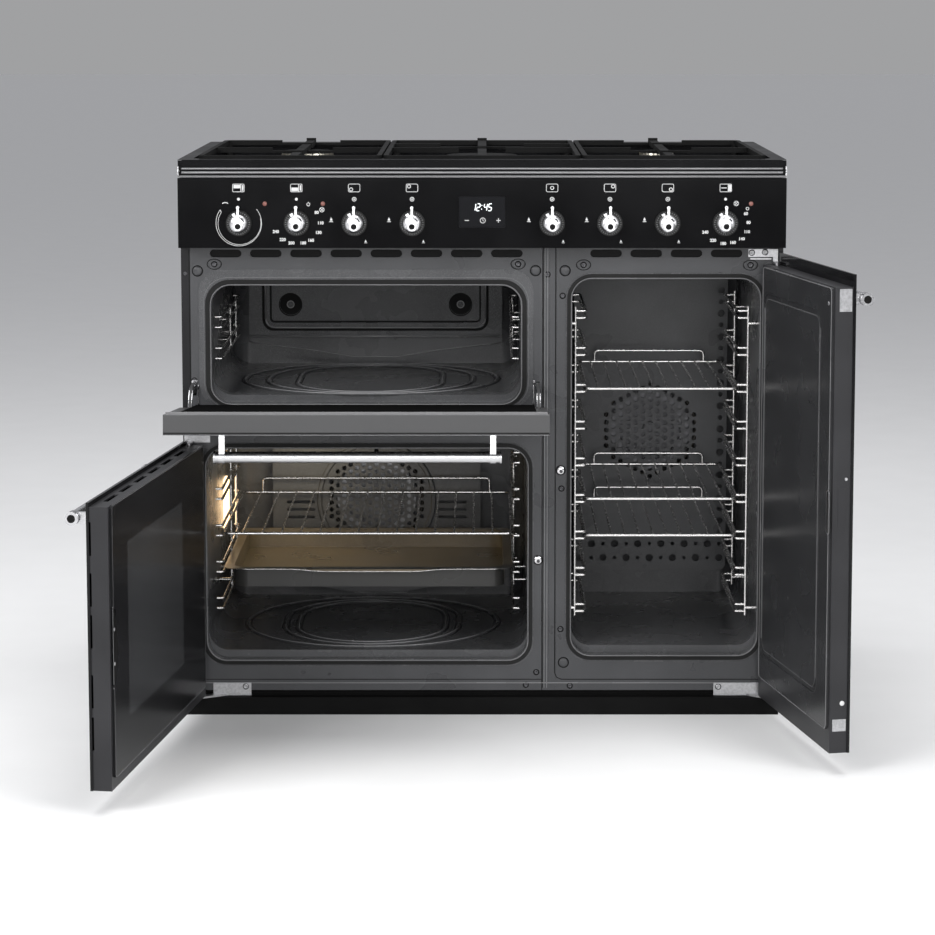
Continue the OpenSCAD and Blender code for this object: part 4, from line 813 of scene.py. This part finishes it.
for x in DIMPLE_X:
    press.arc(x, DIMPLE_Z, 20.6, 0, 360, 1.6, 32)
press.done("cover_pocket_shadow", "groove")
press = Marks(DIMPLE_Y, 0.1)
for x in DIMPLE_X:
    press.disc(x, DIMPLE_Z, 19.6, 32)
press.done("cover_dimple_shadow", "groove")
ridge = [(x + (2 if x < LEFT_X else -2) * 3.4 / 2, z + (3.4 if z < 640 else 0)) for x, z in groove]
bead("cover_ridge_highlight", ridge, COVER_Y, 1.5, "painted_oven_highlight", closed=False)
press = Marks(COVER_Y + 9.9, 0.2)
for x in DIMPLE_X:
    press.arc(x, DIMPLE_Z, 6.2, 0, 360, 1.8, 28)
press.done("cover_dimple_ring_highlights", "edge")
bead("cover_lower_fold_highlight", [(LEFT_X - 226, 593), (LEFT_X + 226, 593)], COVER_Y, 2.4, "painted_oven_highlight",
     closed=False)
apron = [(-229, 582), (-205, 577.4), (-127, 568.9), (-47, 556), (-40, 554.9)]
apron = [(LEFT_X + u, z) for u, z in apron + [(-u, z) for u, z in reversed(apron)]]
bead("apron_edge_highlight", apron, COVER_Y + 8, 1.0, "painted_oven_highlight", closed=False)

# ridges pressed in the floors of the left ovens: a painted highlight on the crest, with a
# painted shadow on both sides.
# Each floor has its height, its middle in Y, and half of each ring's width and depth.
FLAT = Matrix.Rotation(-math.pi / 2, 4, "X")
FLOORS = {"upper": (541, -34.5, ((124, 178), (177, 192), (220, 203))),
          "main": (105, -16, ((129, 168), (152, 186), (220, 204)))}


def floor_ring(cy, rx, ry, grow=0.0):
    rx, ry = rx + grow, ry + grow
    return round_outline(LEFT_X - rx, LEFT_X + rx, cy - ry, cy + ry, min(rx, ry) - 1, 16)


for name, (z, cy, sizes) in FLOORS.items():
    shadow = Marks(-z, 0.1)
    for k, (rx, ry) in enumerate(sizes):
        for grow in (-5.4, 5.4):
            shadow.line(floor_ring(cy, rx, ry, grow), 2.6, closed=True)
        bead("%s_floor_crest_%d" % (name, k), floor_ring(cy, rx, ry), -z - 1.6, 1.1, "painted_oven_highlight",
             place=FLAT)
    shadow.done(name + "_floor_shadows", "press_shadow").data.transform(FLAT)

# painted highlight along the lower edge of the main oven's apron
bead("main_apron_edge_highlight", [(-330, 124), (-308, 122), (-241, 118), (-236, 109), (-139, 109),
                         (-134, 118), (-78, 122), (-56, 124)], 218.5, 1.0, "painted_oven_highlight",
     closed=False)

# painted shade: a dark plate behind the cooling slots stands for the shade inside them
for name, span in (("left", (-476, 90)), ("right", (150, 470))):
    plate("slot_shade_" + name, span, (-257.4, -256.8), (771, 788), "groove", bevel=0)

# the tray's front edge dips in the middle and has a bright rolled line
tray_lo, tray_hi = ([c / MM for c in corner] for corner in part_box("roasting_tray"))
half = (tray_hi[0] - tray_lo[0]) / 2 - 20
dips = [-1.0] + [-1.0 - 4.2 / (1 + math.exp((abs(k - 12) - 5.5) * 2)) for k in range(1, 24)]
dips.append(-1.0)
wave = [(LEFT_X - half + 2 * half * k / 24, tray_hi[2] + dip) for k, dip in enumerate(dips)]
bead("tray_rolled_edge", wave, tray_lo[1] + 0.1, 0.8, "wire", "tray", closed=False)
fill_z = tray_hi[2] - 0.3
solid_profile("tray_edge_fill", [(LEFT_X - half, fill_z)] + wave + [(LEFT_X + half, fill_z)],
              tray_lo[1] + 0.7, tray_lo[1], "tray_in", "tray", bevel=0)

# painted highlights on the pressed field of the tall door's inner panel and on the rims of both
# side doors' insides; the field's outer bead is in the door box's grey
for name, outline, y, r, mat in (
        ("tall_field_inner_highlight", (178.8, 467.2, 123.2, 711.5, 18), INNER_Y - 0.85, 1.0, "edge"),
        ("tall_field_outer", (169.2, 476.8, 113.6, 721.1, 24), INNER_Y - 0.85, 1.0, "box"),
        ("tall_panel_rim_highlight", (121, 483, 72.4, 761.3, 8), INNER_Y, 0.8, "edge")):
    bead(name, round_outline(*outline), y, r, mat, "tall_door", place=TALL)
plate("tall_field_side_highlight", (469.2, 474.8), (INNER_Y - 1.1, INNER_Y - 0.3), (140, 695), "edge",
      "tall_door", TALL, 0.2)
bead("main_latch_rim_highlight", lens, INNER_Y - 0.85, 1.0, "edge", "main_door", closed=False, place=MAIN)
bead("main_glass_rim_highlight", round_outline(-483, 95, 54.4, 462, 6), INNER_Y - 0.8, 1.0, "edge",
     "main_door", place=MAIN)

# folded outlines of the two front sheets, drawn as lines of painted shade and painted highlight
SHEET_TOP = 790
lines = Marks(FACE_Y, 0.15)
lines.line([(102.4, SHEET_TOP), (102.4, 44)], 1.5)
lines.line([(-486.5, 788), (-486.5, 480)], 1.6)
lines.line([(122.4, SHEET_TOP), (122.4, 70), (126, 62), (134, 58.5), (484, 58.5)], 1.5)
lines.line([(-484, 58.5), (100, 58.5)], 1.3)
lines.done("front_outline_shade", "groove")
lines = Marks(FACE_Y, 0.5)
lines.line([(104.6, SHEET_TOP), (104.6, 44)], 1.2)
lines.line([(109.2, SHEET_TOP), (109.2, 44)], 1.2)
lines.line([(-484, 52.5), (484, 52.5)], 1.6)
lines.done("front_outline_highlights", "edge")

# trim under the hob: dark strips between the bright ribs, a painted highlight along its lower
# edge, and the end caps
TRIM_BACK = -296.8
for name, half_x, front_y, z, mat, bevel in (
        ("trim_dark_strip_upper", 493.7, -297.9, (919.3, 921.5), "panel", 0.1),
        ("trim_dark_strip_lower", 497.5, -298.3, (912.4, 914.6), "panel", 0.1),
        ("trim_head", 497.5, -299.2, (926.0, 927.0), "panel", 0.1),
        ("trim_lower_highlight", 499.5, -297.7, (909.3, 912.3), "edge", 0.3)):
    plate(name, (-half_x, half_x), (front_y, TRIM_BACK), z, mat, bevel=bevel)
# painted highlight along the front top edge of the hob
plate("hob_front_highlight", (-499, 499), (-300, -299.3), (937.1, 937.9), "edge", bevel=0.2)
for s, name in ((-1, "left"), (1, "right")):
    plate("trim_dark_end_" + name, sorted((s * 493.5, s * 498.2)), (-299.9, TRIM_BACK),
          (914.4, 926.6), "panel", bevel=0.4)
    plate("trim_cap_" + name, sorted((s * 497.9, s * 500)), (-300, TRIM_BACK), (912.6, 927),
          "chrome", bevel=0.5)

# drop door: painted highlights along the folds at the top of its front, and painted shade in the
# gap behind its skin
for name, x, y, z, mat, bevel in (
        ("drop_glass_highlight", (-497, 103), (-267.6, -263.6), (771.4, 772.6), "edge", 0.2),
        ("drop_box_fold_highlight", (-499, 105), (-268.3, -267.3), (782.4, 783.4), "edge", 0.2),
        ("drop_skin_gap_shade", (-499.5, 105.5), (-297.2, -295.6), (783.0, 783.45), "groove", 0),
        ("drop_skin_lip_highlight", (-499.5, 105.5), (-300, -299.1), (782.9, 783.5), "edge", 0.1)):
    plate(name, x, y, z, mat, "drop_door", DROP, bevel)

# chrome strips on both faces of the drop door's arms, and the guides beside their slots
for x, name, guide in ((-480, "left", (-474.6, -472.0)), (93, "right", (84.6, 87.2))):
    for faces, key in (((x - 3.2, x - 2.02), "a"), ((x + 2.02, x + 3.2), "b")):
        arc_plate("drop_stay_%s_%s" % (name, key), faces, (51.5, 61.5), 60, 152, DROP_HINGE,
                  "chrome", "drop_door")
    plate("drop_guide_" + name, guide, (-262.9, -259.9), (514, 560), "chrome", bevel=0.5)
    plate("drop_guide_head_" + name, sorted((x - 4.5, guide[0])), (-262.4, -259.9),
          (563.5, 568), "chrome", bevel=0.5)

# open ends of the handle grips, with painted shade inside: radius and height of each step of the
# recess
GRIP_END = ((6.3, 0), (6.3, 0.12), (5.6, 0.15), (1.6, 0.15), (1.2, 0.12))
GRIP_TURNS = [2 * math.pi * k / 28 for k in range(28)]
for name, ends, y, z, place in (("main", (-425, 31), -344, 430, MAIN),
                                ("tall", (187, 425), -344, 735.8, TALL),
                                ("drop", (-425, 31), -337, 735.8, DROP)):
    bm = bmesh.new()
    for x, s in zip(ends, (-1, 1)):
        loft(bm, [[bm.verts.new(point(x + s * h, y + r * math.cos(a), z + r * math.sin(a)))
                   for a in GRIP_TURNS] for r, h in GRIP_END])
    piece(bm, name + "_handle_end_shade", "groove", name + "_door", place)

plate("top_hinge_strip", (445, 480), (-262.4, -261.2), (770.6, 773), "zinc", bevel=0.3)

# ---------------------------------------------------------------- stage, camera, light

IMAGE = 935              # the photograph's width and height in pixels
FOCAL = 2908.1           # the fitted focal length and sideways shift, in those pixels
SHIFT_X = -14.58
SHIFT_Y = -0.12
PITCH = 0.123            # radians below the horizontal
SENSOR = 36
STAGE_HALF = 40          # metres
MIDDLE = (0, 0, 0.5)     # what the lights face


def add_object(name, data):
    o = bpy.data.objects.new(name, data)
    bpy.context.scene.collection.objects.link(o)
    return o


cam_data = bpy.data.cameras.new("photo_camera")
cam_data.sensor_width = SENSOR
cam_data.lens = SENSOR * FOCAL / IMAGE
cam_data.shift_x = SHIFT_X / IMAGE
cam_data.shift_y = SHIFT_Y
cam_data.clip_end = 50
cam = add_object("photo_camera", cam_data)
cam.location = (0.0, -5.071, 1.205)
cam.rotation_euler = Euler((math.pi / 2 - PITCH, 0, 0))
bpy.context.scene.camera = cam

# a wide, flat, pale floor
bm = bmesh.new()
span = (-STAGE_HALF, STAGE_HALF)
bm.faces.new([bm.verts.new((x, y, 0)) for x, y in box_outline(*span, *span)])
floor = bpy.data.meshes.new("studio_floor")
bm.to_mesh(floor)
bm.free()
floor.materials.append(enamel("floor_paper", grey(0.86), 0.01, 0.6, rough_vary=0.02))
add_object("studio_floor", floor)

# soft boxes: place, target, width and height in metres, and power in watts
for name, place, target, width, height, power in (
        ("key_left", (-2.6, -3.2, 2.6), MIDDLE, 2.0, 2.0, 110),
        ("key_right", (2.8, -3.0, 2.4), MIDDLE, 2.0, 2.0, 80),
        ("front_fill", (0, -5.6, 1.35), MIDDLE, 3.0, 1.2, 72),
        ("top", (0, -0.2, 3.6), (0, 0, 0.9), 2.6, 2.6, 80)):
    light = bpy.data.lights.new(name, "AREA")
    light.energy = power
    light.shape = "RECTANGLE"
    light.size = width
    light.size_y = height
    o = add_object(name, light)
    o.location = place
    o.rotation_euler = (Vector(target) - Vector(place)).to_track_quat("-Z", "Y").to_euler()

# the lamp in the main oven's left wall
light = bpy.data.lights.new("oven_lamp_light", "POINT")
light.energy = 1.15
light.color = (1.0, 0.86, 0.6)
light.shadow_soft_size = 0.04
lamp = add_object("oven_lamp_light", light)
lamp.visible_glossy = False
lamp.location = (-0.32, 0.03, 0.41)

# sky: a little brighter above than at the horizon
world = bpy.data.worlds.new("studio")
bpy.context.scene.world = world
world.use_nodes = True
sky = world.node_tree
background = sky.nodes["Background"]
up = sky.nodes.new("ShaderNodeSeparateXYZ")
sky.links.new(sky.nodes.new("ShaderNodeTexCoord").outputs["Generated"], up.inputs["Vector"])
light_sky = ramp(sky, up.outputs["Z"], [(0.0, (0.84, 0.845, 0.86)), (0.15, (0.95, 0.96, 1.0))])
sky.links.new(light_sky.outputs["Color"], background.inputs["Color"])
background.inputs["Strength"].default_value = 0.42
bpy.context.scene.view_settings.view_transform = "Standard"
